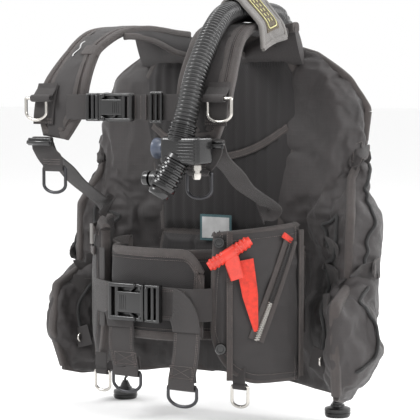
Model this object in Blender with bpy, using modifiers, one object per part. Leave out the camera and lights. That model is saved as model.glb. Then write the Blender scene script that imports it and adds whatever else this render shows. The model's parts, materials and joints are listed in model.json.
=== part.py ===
"""Back-inflation buoyancy compensator vest, as an assembly of separate pieces at rest.

Metres, +Z up. The wearer faces -Y, +X is the wearer's left, and the tank stands on the +Y side.
The origin is the centre of the flat rear face of the tank pad, where the tank rests.
"""

from math import asin, cos, pi, radians, sin, sqrt

import bmesh
import bpy
import numpy as np
from mathutils import Matrix, Vector

# Driving dimensions
GAP = 0.0004  # between pieces that touch
WAIST_HALF = 0.195  # waist oval: outside of the pockets, half its width
WAIST_DEPTH = 0.180  # waist oval: from its centre to the front
WAIST_Y = -0.060  # centre of the waist oval
SHOULDER_TOP = 0.286  # highest point of the padded straps' centre line
CHEST_Y = -0.284  # padded straps' centre line at the chest
WING_TOP = SHOULDER_TOP - 0.021
WING_BOTTOM = -0.268  # lowest point of the wing behind the lumbar pad
WING_CORE = 0.020  # thickness of the wing between plate and tank pad
PLATE = 0.0035
PAD = 0.016  # back pad's thickness
TANK_PAD = 0.0060
TANK_RADIUS = 0.0925
YOKE_TOP = SHOULDER_TOP - 0.012
STRAP_WIDTH = 0.090
STRAP_THICK = 0.012
WEB = 0.0025  # thickness of all webbing
WAIST_WEB = 0.050  # width of the waist webbing
CHEST_WEB = 0.038  # width of the chest and shoulder webbing
WAIST_Z = -0.130  # middle of the waist webbing
CHEST_Z = SHOULDER_TOP - 0.1205  # middle of the chest webbing
HOSE_RADIUS = 0.017
RING_WIRE = 0.0025  # radius of a D-ring's wire
RING_DROP = 0.034
POCKET_THICK = 0.026
BELT_THICK = 0.006  # the cummerbund
KNOB_RADIUS = 0.0205
KNOB_DEEP = 0.030
VALVE_RADIUS = 0.024
VALVE_THICK = 0.012
HANDLE_RADIUS = 0.0085  # red T handle
HANDLE_HALF = 0.037
GRIP_RADIUS = 0.0175  # inflator's grip
WAIST_BUCKLE = 0.094  # lengths of the two side-release buckles
CHEST_BUCKLE = 0.084
CORD_RADIUS = 0.0020
BAND_WIDTH = 0.050
BAND_Z = 0.085

# Planes that follow from them, front of the tank pad to the wearer's back
WING_REAR = -TANK_PAD - GAP
WING_MID = WING_REAR - WING_CORE / 2
PLATE_REAR = WING_REAR - WING_CORE - GAP
PAD_REAR = PLATE_REAR - PLATE - GAP
PAD_FRONT = PAD_REAR - PAD

COLOURS = {
    "nylon": ((0.045, 0.042, 0.042, 1), 0.75, 0.0),
    "mesh_fabric": ((0.035, 0.034, 0.037, 1), 0.85, 0.0),
    "webbing": ((0.030, 0.028, 0.028, 1), 0.80, 0.0),
    "wrap_fabric": ((0.085, 0.080, 0.072, 1), 0.85, 0.0),
    "black_plastic": ((0.012, 0.012, 0.013, 1), 0.38, 0.0),
    "hose_rubber": ((0.015, 0.015, 0.016, 1), 0.45, 0.0),
    "mouth_rubber": ((0.16, 0.18, 0.24, 1), 0.50, 0.0),
    "steel": ((0.70, 0.68, 0.62, 1), 0.22, 1.0),
    "dark_metal": ((0.10, 0.10, 0.105, 1), 0.35, 0.9),
    "red_rubber": ((0.80, 0.05, 0.03, 1), 0.55, 0.0),
}


# Scene and materials

def clear_scene():
    for found in list(bpy.data.objects):
        bpy.data.objects.remove(found, do_unlink=True)


def new_collection(name):
    made = bpy.data.collections.new(name)
    bpy.context.scene.collection.children.link(made)
    return made


def material(node, finish):
    """One material a node, so that a piece can be recoloured by itself."""
    colour, roughness, metallic = COLOURS[finish]
    made = bpy.data.materials.new(node + "_" + finish)
    made.use_nodes = True
    shader = made.node_tree.nodes["Principled BSDF"]
    shader.inputs["Base Color"].default_value = colour
    shader.inputs["Roughness"].default_value = roughness
    shader.inputs["Metallic"].default_value = metallic
    made.diffuse_color = colour
    return made


def place(name, data, finish, origin=(0, 0, 0)):
    """Links a node; its data is given in world space and is moved so that the origin is its own."""
    made = bpy.data.objects.new(name, data)
    VEST.objects.link(made)
    data.transform(Matrix.Translation(-Vector(origin)))
    made.location = origin
    data.materials.append(material(name, finish))
    return made


def smooth_shade(made, angle=35):
    made.data.shade_smooth()
    made.data.set_sharp_from_angle(angle=radians(angle))


# Shapes

def spline(points, count):
    """A Catmull-Rom curve through the points, as count points evenly spread over its spans."""
    p = np.asarray(points, float)
    ends = np.vstack([2 * p[0] - p[1], p, 2 * p[-1] - p[-2]])
    t = np.linspace(0, len(p) - 1, count)
    k = np.minimum(t.astype(int), len(p) - 2)
    f = (t - k)[:, None]
    a, b, c, d = ends[k], ends[k + 1], ends[k + 2], ends[k + 3]
    return 0.5 * (2 * b + (c - a) * f + (2 * a - 5 * b + 4 * c - d) * f**2 + (3 * b - a - 3 * c + d) * f**3)


def grid_mesh(name, rows, closed=False):
    """A sheet of quads over rows of points; closed joins the last row to the first."""
    rows = np.asarray(rows, float)
    n, m = rows.shape[:2]
    faces = [
        (i * m + j, (i + 1) % n * m + j, (i + 1) % n * m + j + 1, i * m + j + 1)
        for i in range(n if closed else n - 1)
        for j in range(m - 1)
    ]
    data = bpy.data.meshes.new(name)
    data.from_pydata(rows.reshape(-1, 3).tolist(), [], faces)
    return data


def shell(name, rows, thickness, finish, closed=False, origin=(0, 0, 0)):
    """A sheet given its thickness, half to each side."""
    made = place(name, grid_mesh(name, rows, closed), finish, origin)
    solidify = made.modifiers.new("Thickness", "SOLIDIFY")
    solidify.thickness = thickness
    solidify.offset = 0
    solidify.use_even_offset = True
    return made


def ribbon(name, path, width, finish, thickness=WEB, across=(1, 0, 0), origin=(0, 0, 0)):
    """A flat strap along a path; width is one value or one for each point."""
    path = np.asarray(path, float)
    across = np.asarray(across, float)
    across = across / np.linalg.norm(across, axis=-1, keepdims=True)
    half = np.broadcast_to(np.asarray(width, float) / 2, len(path))[:, None]
    rows = np.stack([path - across * half, path + across * half], axis=1)
    return shell(name, rows, thickness, finish, origin=origin)


def loft(name, front, back, finish):
    """A closed solid between two sheets of the same grid, whose edges are joined: a soft form of varying
    thickness, which no single tool makes."""
    n, m = front.shape[:2]
    data = grid_mesh(name, front)
    points = np.concatenate([front.reshape(-1, 3), back.reshape(-1, 3)])
    faces = [tuple(face.vertices) for face in data.polygons]
    faces += [tuple(v + n * m for v in reversed(face)) for face in faces]
    edge = [i * m for i in range(n)] + [(n - 1) * m + j for j in range(1, m)]
    edge += [i * m + m - 1 for i in range(n - 2, -1, -1)] + list(range(m - 2, 0, -1))
    faces += [(b, a, a + n * m, b + n * m) for a, b in zip(edge, edge[1:] + edge[:1])]
    data.clear_geometry()
    data.from_pydata(points.tolist(), [], faces)
    build = bmesh.new()
    build.from_mesh(data)
    bmesh.ops.recalc_face_normals(build, faces=build.faces)
    build.to_mesh(data)
    build.free()
    made = place(name, data, finish)
    smooth_shade(made, 60)
    return made


def tube(name, path, radius, finish, cyclic=False, resolution=2, origin=(0, 0, 0)):
    """A round wire, cord or hose along a path."""
    data = bpy.data.curves.new(name, "CURVE")
    data.dimensions = "3D"
    data.bevel_depth = radius
    data.bevel_resolution = resolution
    data.use_fill_caps = not cyclic
    line = data.splines.new("POLY")
    line.points.add(len(path) - 1)
    line.points.foreach_set("co", np.c_[np.asarray(path, float), np.ones(len(path))].ravel())
    line.use_cyclic_u = cyclic
    return place(name, data, finish, origin)


def as_mesh(made):
    """The tube as a mesh object of the same name, so that it can be cut or joined."""
    bpy.context.view_layer.update()
    evaluated = made.evaluated_get(bpy.context.evaluated_depsgraph_get())
    data = bpy.data.meshes.new_from_object(evaluated)
    build = bmesh.new()
    build.from_mesh(data)
    bmesh.ops.remove_doubles(build, verts=build.verts, dist=1e-5)
    build.to_mesh(data)
    build.free()
    name, where = made.name, made.matrix_world.copy()
    bpy.data.objects.remove(made)
    solid = bpy.data.objects.new(name, data)
    VEST.objects.link(solid)
    solid.matrix_world = where
    return solid


def box_mesh(name, low, high):
    low, high = Vector(low), Vector(high)
    build = bmesh.new()
    bmesh.ops.create_cube(build, size=1)
    bmesh.ops.scale(build, vec=high - low, verts=build.verts)
    bmesh.ops.translate(build, vec=(high + low) / 2, verts=build.verts)
    data = bpy.data.meshes.new(name)
    build.to_mesh(data)
    build.free()
    return data


def box(name, low, high, finish, bevel=0.0, origin=(0, 0, 0)):
    made = place(name, box_mesh(name, low, high), finish, origin)
    if bevel:
        round_edges(made, bevel)
    return made


def round_edges(made, width, segments=2):
    bevel = made.modifiers.new("Rounded edges", "BEVEL")
    bevel.width = width
    bevel.segments = segments
    bevel.limit_method = "ANGLE"
    bevel.angle_limit = radians(40)


def drum_mesh(name, start, end, radius, end_radius=None, sides=20):
    """A cylinder or cone between two points."""
    start, end = Vector(start), Vector(end)
    along = end - start
    build = bmesh.new()
    bmesh.ops.create_cone(
        build, cap_ends=True, segments=sides, radius1=radius, depth=along.length,
        radius2=radius if end_radius is None else end_radius,
        matrix=Matrix.Translation((start + end) / 2) @ along.to_track_quat("Z", "Y").to_matrix().to_4x4(),
    )
    data = bpy.data.meshes.new(name)
    build.to_mesh(data)
    build.free()
    return data


def drum(name, start, end, radius, finish, end_radius=None, sides=20, origin=(0, 0, 0)):
    made = place(name, drum_mesh(name, start, end, radius, end_radius, sides), finish, origin)
    smooth_shade(made)
    return made


def helper(data):
    """A cutter or joined shape: never part of the render."""
    made = bpy.data.objects.new(data.name, data)
    CUTTERS.objects.link(made)
    made.hide_render = True
    made.display_type = "WIRE"
    return made


def combine(made, data, operation):
    """Adds or cuts a helper shape, given in world space."""
    boolean = made.modifiers.new(operation.title() + " " + data.name, "BOOLEAN")
    boolean.operation = operation
    boolean.solver = "EXACT"
    boolean.object = helper(data)


def cut(made, data):
    combine(made, data, "DIFFERENCE")


def join(made, data):
    combine(made, data, "UNION")


def outline(name, points, low_y, high_y, finish):
    """A flat plate in the XZ plane between two values of Y."""
    data = bpy.data.curves.new(name, "CURVE")
    data.dimensions = "2D"
    data.fill_mode = "BOTH"
    data.extrude = (high_y - low_y) / 2
    line = data.splines.new("POLY")
    line.points.add(len(points) - 1)
    line.points.foreach_set("co", [v for x, z in points for v in (x, z, 0.0, 1.0)])
    line.use_cyclic_u = True
    made = bpy.data.objects.new(name, data)
    VEST.objects.link(made)
    made.matrix_world = Matrix.Translation((0, (low_y + high_y) / 2, 0)) @ Matrix.Rotation(pi / 2, 4, "X")
    data.materials.append(material(name, finish))
    return made


def mirrored(half):
    """An outline from its right half, from the middle at the top to the middle at the bottom."""
    return half + [(-x, z) for x, z in reversed(half) if x > 0]


# Places on the waist oval

def waist(angle, offset=0.0):
    """A point of the waist oval; the angle is from the front, towards the wearer's left."""
    x, depth = (WAIST_HALF + offset) * np.sin(angle), (WAIST_DEPTH + offset) * np.cos(angle)
    return np.array([x, WAIST_Y - depth])


def waist_angle(x, offset=0.0):
    return asin(x / (WAIST_HALF + offset))


def waist_sheet(angles, offset, bottom, top):
    """Rows of points round the waist; offset, bottom and top are values or functions of the angle."""
    def at(value, angle):
        return value(angle) if callable(value) else value

    rows = []
    for angle in angles:
        x, y = waist(angle, at(offset, angle))
        low, high = at(bottom, angle), at(top, angle)
        rows.append([(x, y, low + (high - low) * t) for t in (0, 0.5, 1)])
    return rows


# The wing: its centre line in plan, level by level, from the side of the plate to the outer seam.
# Each level holds its height as a share of the top or the bottom, then for three columns the place
# (outwards from the waist oval's side, and y) and the half thickness.
WING_LEVELS = (
    (-1.00, (0.032, -0.034, 0.024), (0.054, -0.082, 0.022), (0.064, -0.122, 0.006)),
    (-0.76, (0.050, -0.030, 0.043), (0.064, -0.086, 0.037), (0.072, -0.142, 0.008)),
    (-0.49, (0.046, -0.032, 0.042), (0.060, -0.084, 0.035), (0.068, -0.136, 0.008)),
    (-0.40, (0.043, -0.030, 0.040), (0.055, -0.060, 0.030), (0.061, -0.080, 0.006)),
    (0.00, (0.040, -0.024, 0.036), (0.054, -0.052, 0.027), (0.062, -0.074, 0.005)),
    (0.20, (0.034, -0.018, 0.028), (0.042, -0.030, 0.018), (0.045, -0.040, 0.005)),
    (0.42, (0.030, -0.014, 0.024), (0.038, -0.006, 0.015), (0.045, 0.002, 0.005)),
    (0.62, (0.028, -0.012, 0.020), (0.044, -0.005, 0.014), (0.053, 0.000, 0.005)),
    (1.00, (0.006, -0.014, 0.008), (0.014, -0.012, 0.007), (0.022, -0.010, 0.005)),
)
WING_TOPS = (1.0, 1.0, 0.94, 0.82, 0.72, 0.60)  # top of each of six columns, as shares of WING_TOP
WING_BOTTOMS = (1.0, 1.0, 1.04, 1.06, 1.05, 1.01)
WING_ROWS = 15
WING_COLUMNS = 16


def wing_station(column, z):
    """Centre (x, y) and half thickness of the wing at one of its six columns."""
    if column < 2:
        return np.array([column * 0.100, WING_MID, WING_CORE / 2])
    if column == 2:
        return np.array([WAIST_HALF - 0.032, WING_MID + 0.004, WING_CORE / 2 + 0.007])
    heights = [share * (WING_TOP if share > 0 else -WING_BOTTOM) for share, *_ in WING_LEVELS]
    table = np.array([level[column - 2] for level in WING_LEVELS])
    out, y, half = (np.interp(z, heights, table[:, i]) for i in range(3))
    return np.array([WAIST_HALF + out, y, half])


def wing_faces(side, u, v):
    """Front and rear point of the wing; u runs from the middle (0) to the outer seam (1), v from the
    bottom edge (0) to the top (1)."""
    column = u * 5
    tops = np.interp(column, range(6), WING_TOPS) * WING_TOP
    bottoms = np.interp(column, range(6), WING_BOTTOMS) * WING_BOTTOM
    z = bottoms + (tops - bottoms) * v
    stations = np.array([wing_station(k, z) for k in range(6)])
    line = spline(stations, 51)
    k = min(int(round(column * 10)), 50)
    tangent = line[min(k + 1, 50), :2] - line[max(k - 1, 0), :2]
    tangent /= np.linalg.norm(tangent)
    x, y, half = line[k]
    half *= min(1, 0.35 + 5.5 * min(v, 1 - v))
    normal = np.array([tangent[1], -tangent[0]])
    front, rear = np.array([x, y]) + normal * half, np.array([x, y]) - normal * half
    return (side * front[0], front[1], z), (side * rear[0], rear[1], z)


def make_bladder():
    shares = np.linspace(0, 1, WING_COLUMNS)
    columns = [(-1, u) for u in shares[::-1]] + [(1, u) for u in shares[1:]]
    levels = (1 - np.cos(np.linspace(0, pi, WING_ROWS))) / 2
    faces = np.array([[wing_faces(side, u, v) for v in levels] for side, u in columns])
    loft("bladder", faces[:, :, 0], faces[:, :, 1], "nylon")


# Back: plate, pads, yoke

def make_back():
    low = WING_BOTTOM + 0.060
    outline(
        "back_plate",
        mirrored([(0.0, WING_TOP - 0.045), (0.085, WING_TOP - 0.045), (0.095, 0.10), (0.075, 0.0),
                  (0.095, low + 0.04), (0.080, low), (0.0, low)]),
        PLATE_REAR - PLATE, PLATE_REAR, "black_plastic",
    )
    lumbar = -0.040
    outline(
        "back_pad",
        mirrored([(0.0, YOKE_TOP - 0.040), (0.120, YOKE_TOP - 0.040), (0.148, YOKE_TOP - 0.074),
                  (0.150, YOKE_TOP - 0.144), (0.138, 0.080), (0.118, 0.020), (0.115, lumbar),
                  (0.0, lumbar)]),
        PAD_FRONT, PAD_REAR, "mesh_fabric",
    )
    outline(
        "lumbar_pad",
        mirrored([(0.0, lumbar - GAP), (0.114, lumbar - GAP), (0.120, -0.090), (0.112, -0.180),
                  (0.085, WING_BOTTOM + 0.055), (0.0, WING_BOTTOM + 0.055)]),
        PAD_FRONT - 0.004, PAD_REAR, "mesh_fabric",
    )
    outline(
        "yoke_collar",
        mirrored([(0.0, YOKE_TOP), (0.140, YOKE_TOP), (0.148, YOKE_TOP - 0.020),
                  (0.146, YOKE_TOP - 0.040 + GAP), (0.0, YOKE_TOP - 0.040 + GAP)]),
        PAD_FRONT - 0.002, PAD_REAR, "nylon",
    )


# Padded shoulder straps and what lies on them

SHOULDER_X = 0.120
STRAP_TURN = ((0.0, 0.0), (0.3, 0.05), (0.60, 0.30), (0.82, 0.03), (1.0, 0.0))  # share of its length, slope


def strap_line(count=15):
    """Centre line of the left padded strap, from the yoke over the shoulder to its lower end."""
    top, front = SHOULDER_TOP, CHEST_Y
    return spline(
        [(SHOULDER_X - 0.026, PAD_REAR - 0.008, YOKE_TOP + STRAP_THICK / 2 + GAP),
         (SHOULDER_X - 0.021, 0.27 * front, top - 0.004), (SHOULDER_X - 0.017, 0.39 * front, top - 0.001),
         (SHOULDER_X - 0.014, 0.52 * front, top), (SHOULDER_X - 0.009, 0.67 * front, top - 0.006),
         (SHOULDER_X - 0.004, 0.78 * front, top - 0.021), (SHOULDER_X + 0.002, 0.86 * front, top - 0.042),
         (SHOULDER_X + 0.007, 0.95 * front, top - 0.080), (SHOULDER_X + 0.010, front, top - 0.120),
         (SHOULDER_X + 0.016, front - 0.005, top - 0.165)],
        count,
    )


def strap_offset(z, distance):
    """A point in front of the strap's centre line at a height on the chest."""
    line = strap_line(200)
    line = line[line[:, 2].argmax():]
    k = int(np.abs(line[:, 2] - z).argmin())
    k = min(max(k, 1), len(line) - 2)
    tangent = line[k + 1] - line[k - 1]
    normal = np.array([0, tangent[2], -tangent[1]]) / np.hypot(tangent[1], tangent[2])
    return line[k] + normal * distance


def mirror_x(points, side):
    return np.asarray(points, float) * np.array([side, 1, 1])


SIDES = (("left", 1), ("right", -1))
WEB_FRONT = STRAP_THICK / 2 + GAP + WEB / 2  # webbing's middle, in front of the strap's centre line
HOSE_X = 0.1262
RING_HALF = CHEST_WEB / 2 + 0.00125  # half the width of a D-ring's centre line
RING_X = HOSE_X + HOSE_RADIUS + GAP + RING_WIRE + RING_HALF
RING_Z = CHEST_Z + 0.0135  # upper D-rings' hinge


def d_ring(name, hinge, half, drop, finish, side=1):
    """A wire ring with a straight bar on its hinge and a round lower end."""
    round_part = [
        (half * cos(a), -(drop - 0.6 * half) - 0.6 * half * sin(a)) for a in np.linspace(0, pi, 9)
    ]
    shape = [(half, -0.002), (half - 0.002, 0.0), (-half + 0.002, 0.0), (-half, -0.002)] + round_part[::-1]
    path = [(hinge[0] * side + x, hinge[1], hinge[2] + z) for x, z in shape]
    return tube(name, path, RING_WIRE, finish, cyclic=True, resolution=1,
                origin=(hinge[0] * side, hinge[1], hinge[2]))


def frame_mesh(name, width, height, thick, slots):
    """A flat buckle frame with slots; each slot is (middle z, height, width) from the frame's centre."""
    data = bpy.data.curves.new(name, "CURVE")
    data.dimensions = "2D"
    data.fill_mode = "BOTH"
    data.extrude = thick / 2
    shapes = [(0.0, height, width)] + list(slots)
    for middle, tall, wide in shapes:
        line = data.splines.new("POLY")
        r = min(tall, wide) * 0.25
        corners = [(sx * (wide / 2 - r), middle + sz * (tall / 2 - r), a)
                   for sx, sz, a in ((1, 1, 0), (-1, 1, 90), (-1, -1, 180), (1, -1, 270))]
        ring = [(x + r * cos(radians(a + b)), z + r * sin(radians(a + b))) for x, z, a in corners
                for b in (0, 45, 90)]
        line.points.add(len(ring) - 1)
        line.points.foreach_set("co", [v for x, z in ring for v in (x, z, 0.0, 1.0)])
        line.use_cyclic_u = True
    return data


def frame(name, width, height, thick, centre, slots, finish, turned=False):
    """A buckle frame facing -Y; turned lays its slots upright, for webbing that runs sideways."""
    data = frame_mesh(name, width, height, thick, slots)
    made = bpy.data.objects.new(name, data)
    VEST.objects.link(made)
    spin = Matrix.Rotation(pi / 2, 4, "Y") if turned else Matrix.Identity(4)
    made.matrix_world = Matrix.Translation(centre) @ spin @ Matrix.Rotation(pi / 2, 4, "X")
    data.materials.append(material(name, finish))
    return made


LOCK_THICK = 0.004
LOCK_Z = SHOULDER_TOP - 0.173
FOLD = 0.0030  # half the depth of the webbing's fold at the ladder lock
LOWER_X = 0.155
TAIL_RING = (0.132, LOCK_Z - 0.040)  # x and z of the lower D-rings' hinge


def lower_path():
    """Centre line of a lower shoulder strap: from the side of the waist up to the ladder lock, over its
    bar, and down again as the tail that holds the lower D-ring."""
    face = CHEST_Y - STRAP_THICK / 2 - 0.005
    back, front = face - 0.001, face - 0.001 - 2 * FOLD
    side = waist_angle(WAIST_HALF - 0.033)
    end = waist(side, -0.026)
    long_run = spline(
        [(end[0], end[1], 0.004), (LOWER_X + 0.005, 0.52 * CHEST_Y, 0.016),
         (LOWER_X, 0.745 * CHEST_Y, LOCK_Z - 0.066), (LOWER_X, 0.86 * CHEST_Y, LOCK_Z - 0.042),
         (LOWER_X, face + 0.012, LOCK_Z - 0.019), (LOWER_X, back, LOCK_Z)], 12)
    fold = [(LOWER_X, (back + front) / 2 + FOLD * cos(a), LOCK_Z + 0.003 + FOLD * sin(a))
            for a in np.linspace(0, pi, 5)]
    x, z = TAIL_RING
    tail = [(LOWER_X, front, LOCK_Z - 0.006), (LOWER_X - 0.008, front + 0.001, LOCK_Z - 0.018),
            (x + 0.003, front + 0.002, z + 0.010), (x, front + 0.003, z + RING_WIRE + 0.0015)]
    return np.vstack([long_run, fold, tail])


def lock_front():
    """Front face of the ladder locks, which lie on the fold of the lower straps."""
    return lower_path()[:, 1].min() - WEB / 2 - GAP - LOCK_THICK


def make_shoulders():
    line = strap_line()
    shares = np.linspace(0, 1, len(line))
    widths = STRAP_WIDTH * np.interp(shares, [0, 0.3, 0.6, 0.75, 0.88, 1], [0.9, 0.95, 0.86, 0.97, 1, 0.48])
    turns = np.interp(shares, *zip(*STRAP_TURN))
    across = np.stack([np.ones(len(line)), turns, np.zeros(len(line))], axis=1)
    upper = np.array([strap_offset(z, WEB_FRONT) for z in np.linspace(RING_Z + 0.014, LOCK_Z + 0.024, 5)])
    upper[:, 0] = RING_X - 0.010
    low = lower_path()
    lock_y = lock_front() + LOCK_THICK / 2
    for name, side in SIDES:
        smooth_shade(ribbon("shoulder_strap_" + name, mirror_x(line, side), widths, "nylon", STRAP_THICK,
                            across=mirror_x(across, side)), 60)
        ribbon("shoulder_web_" + name, mirror_x(upper, side), CHEST_WEB, "webbing")
        ring_y = strap_offset(RING_Z - RING_DROP, WEB_FRONT)[1] - WEB / 2 - GAP - RING_WIRE - 0.001
        d_ring("upper_d_ring_" + name, (RING_X, ring_y, RING_Z), RING_HALF, RING_DROP, "steel", side)
        ribbon("lower_strap_" + name, mirror_x(low, side), CHEST_WEB, "webbing")
        frame("ladder_lock_" + name, CHEST_WEB + 0.010, 0.028, LOCK_THICK,
              (side * LOWER_X, lock_y, LOCK_Z), [(0.006, 0.007, CHEST_WEB + 0.001),
                                                 (-0.006, 0.007, CHEST_WEB + 0.001)], "black_plastic")
        tail_y = low[-1, 1]
        d_ring("lower_d_ring_" + name, (TAIL_RING[0], tail_y, TAIL_RING[1]), RING_HALF + 0.001, 0.038,
               "dark_metal", side)


# Hose and inflator

WRAP_REAR, WRAP_FRONT = -0.105, -0.178


def hose_line():
    """Centre line of the corrugated hose, from the elbow over the shoulder and down the chest."""
    rest = STRAP_THICK / 2 + HOSE_RADIUS + 2 * GAP
    top = SHOULDER_TOP
    over = [(SHOULDER_X - 0.018, -0.014, top + 0.009), (SHOULDER_X - 0.016, -0.042, top + rest - 0.002),
            (SHOULDER_X - 0.012, -0.095, top + rest), (SHOULDER_X - 0.008, 0.52 * CHEST_Y, top + rest)]
    down = [strap_offset(top - drop, rest + extra) * (0, 1, 1) + (x, 0, 0)
            for drop, extra, x in ((0.008, 0.001, SHOULDER_X - 0.004), (0.030, 0.002, HOSE_X - 0.003),
                                   (0.058, 0.004, HOSE_X), (0.090, 0.006, HOSE_X), (0.124, 0.010, HOSE_X))]
    end = strap_offset(top - 0.150, rest + 0.015) * (0, 1, 1) + (HOSE_X - 0.003, 0, 0)
    return spline(over + down + [end], 109)


def split_hose():
    """The fixed and the swinging stretch of the hose, and the pivot between them."""
    line = hose_line()
    k = int(np.abs(line[:, 1] - 0.72 * CHEST_Y).argmin())
    pivot = line[k]
    reach = np.linalg.norm(line - pivot, axis=1)
    fixed = line[:k][reach[:k] > HOSE_RADIUS + 2 * GAP]
    return fixed[::3], line[k:][::3], pivot


def make_hose():
    fixed, swinging, pivot = split_hose()
    path = fixed[3:]
    tube("hose_upper", path, HOSE_RADIUS, "hose_rubber")
    ahead = (path[1] - path[0]) / np.linalg.norm(path[1] - path[0])
    elbow = np.vstack([spline([(path[0][0], -0.004, WING_TOP + GAP + 0.001),
                               (path[0][0], -0.006, WING_TOP + 0.012), path[0] - ahead * 0.010], 6),
                       path[0] - ahead * (GAP + 0.0003)])
    tube("hose_elbow", elbow, HOSE_RADIUS - 0.001, "black_plastic")
    swing = as_mesh(tube("inflator_hose", swinging, HOSE_RADIUS, "hose_rubber"))
    build = bmesh.new()
    bmesh.ops.create_uvsphere(build, u_segments=12, v_segments=8, radius=HOSE_RADIUS)
    bmesh.ops.translate(build, vec=Vector(pivot), verts=build.verts)
    ball = bpy.data.meshes.new("hose_ball")
    build.to_mesh(ball)
    build.free()
    swing.data.transform(Matrix.Translation(-Vector(pivot)))
    swing.location = pivot
    join(swing, ball)
    make_hose_wrap(hose_line())
    make_inflator(swinging)
    return pivot


def make_hose_wrap(path):
    """The fabric band that holds the hose on the shoulder: over the hose, then down past the strap's
    outer edge."""
    strap = strap_line(200)
    radius = HOSE_RADIUS + 0.0025
    angles = np.linspace(radians(-105), radians(50), 8)
    rows = []
    for y in np.linspace(WRAP_REAR, WRAP_FRONT, 7):
        point = path[np.abs(path[:, 1] - y).argmin()]
        edge = strap[np.abs(strap[:, 1] - point[1]).argmin()] + (STRAP_WIDTH / 2, 0, STRAP_THICK / 2)
        hang = 0.020 + 0.016 * (y - WRAP_REAR) / (WRAP_FRONT - WRAP_REAR)
        over = [point + radius * np.array([sin(a), 0, cos(a)]) for a in angles]
        rows.append(over + [edge + (0.003, 0, 0.003), edge + (0.008, 0, -0.008), edge + (0.011, 0, -hang)])
    smooth_shade(shell("hose_wrap", rows, 0.003, "wrap_fabric"), 60)


BODY_WIDE, BODY_DEEP, BODY_TALL = 0.068, 0.038, 0.040
BUTTON_TRAVEL = 0.004


def make_inflator(swinging):
    """Inflator at the hose's end: cuff, valve block, grip, two buttons, mouthpiece and hose nipple."""
    end = swinging[-1]
    along = (swinging[-1] - swinging[-2]) / np.linalg.norm(swinging[-1] - swinging[-2])
    cuff = end + along * GAP
    half = np.array([BODY_WIDE, BODY_DEEP, BODY_TALL]) / 2
    block = np.array([end[0] + 0.006, lock_front() - 4 * GAP - half[1], end[2] - 0.014 - half[2]])
    low, high = block - half, block + half
    body = box("inflator_body", low, high, "black_plastic", 0.004)
    join(body, drum_mesh("cuff", cuff, cuff + along * 0.034, HOSE_RADIUS + 0.002))
    grip_top = np.array([end[0] - 0.004, block[1] - 0.004, low[2] + 0.010])
    grip_end = np.array([end[0] - 0.022, block[1] - 0.022, low[2] - 0.034])
    join(body, drum_mesh("grip", grip_top, grip_end, GRIP_RADIUS))
    axis = (grip_end - grip_top) / np.linalg.norm(grip_end - grip_top)
    start = grip_end + axis * GAP
    drum("deflate_button", start + axis * BUTTON_TRAVEL, start + axis * (BUTTON_TRAVEL + 0.008), 0.0145,
         "black_plastic", 0.0125, origin=start + axis * BUTTON_TRAVEL)
    mouth = np.array([low[0] - GAP, block[1] - 0.003, block[2] + 0.003])
    piece = drum("mouthpiece", mouth, mouth - (0.016, 0, 0), 0.012, "mouth_rubber", 0.015)
    cut(piece, drum_mesh("mouth_bore", mouth - (0.006, 0, 0), mouth - (0.030, 0, 0), 0.0085, sides=16))
    nub = grip_end + (-GRIP_RADIUS - GAP, 0.004, 0.014)
    drum("inflate_button", nub - (BUTTON_TRAVEL, 0, 0), nub - (BUTTON_TRAVEL + 0.010, 0, 0), 0.0110,
         "black_plastic", origin=nub - (BUTTON_TRAVEL, 0, 0))
    stem = np.array([block[0] + 0.018, block[1], low[2] - GAP])
    drum("hose_nipple", stem, stem - (0, 0, 0.020), 0.0065, "steel", 0.0055, sides=14)


# Waist: pockets, cummerbund, webbing, buckle and tails

BELT_BOTTOM, BELT_TOP = -0.185, -0.050
FLAP_END = 0.084  # the right flap passes the middle and ends here
BELT_FRONT = -0.003  # cummerbund's outer face at the front, from the waist oval
POCKET_TOP, POCKET_BOTTOM = -0.012, -0.250
POCKET_FRONT_LEFT, POCKET_FRONT_RIGHT = 0.102, 0.128


def belt_offset(under, angle, pocket_front):
    """Middle of the cummerbund from the waist oval: at the front on the outside, then below a pocket."""
    near = BELT_FRONT - BELT_THICK / 2 - under
    deep = -POCKET_THICK - 3 * GAP - BELT_THICK / 2
    share = min(max((abs(angle) - waist_angle(pocket_front) + radians(17)) / radians(13), 0), 1)
    return near + (deep - near) * share * share * (3 - 2 * share)


def make_cummerbund():
    reach = radians(92)
    flap = waist_angle(FLAP_END)

    def flap_top(angle):
        return BELT_TOP - 0.030 * max(0, 1 - (flap - angle) / radians(9)) ** 2

    right = np.linspace(-reach, flap, 22)
    front = BELT_FRONT - BELT_THICK / 2
    right_offset = [belt_offset(0, a, POCKET_FRONT_RIGHT) if a < 0 else front for a in right]
    rows = [waist_sheet([a], d, BELT_BOTTOM, flap_top)[0] for a, d in zip(right, right_offset)]
    smooth_shade(shell("cummerbund_right", rows, BELT_THICK, "mesh_fabric"), 60)
    under = BELT_THICK + 4 * GAP
    left = np.linspace(radians(-9), reach, 20)
    rows = [waist_sheet([a], belt_offset(under, a, POCKET_FRONT_LEFT), BELT_BOTTOM, BELT_TOP - 0.002)[0]
            for a in left]
    smooth_shade(shell("cummerbund_left", rows, BELT_THICK, "mesh_fabric"), 60)


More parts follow.
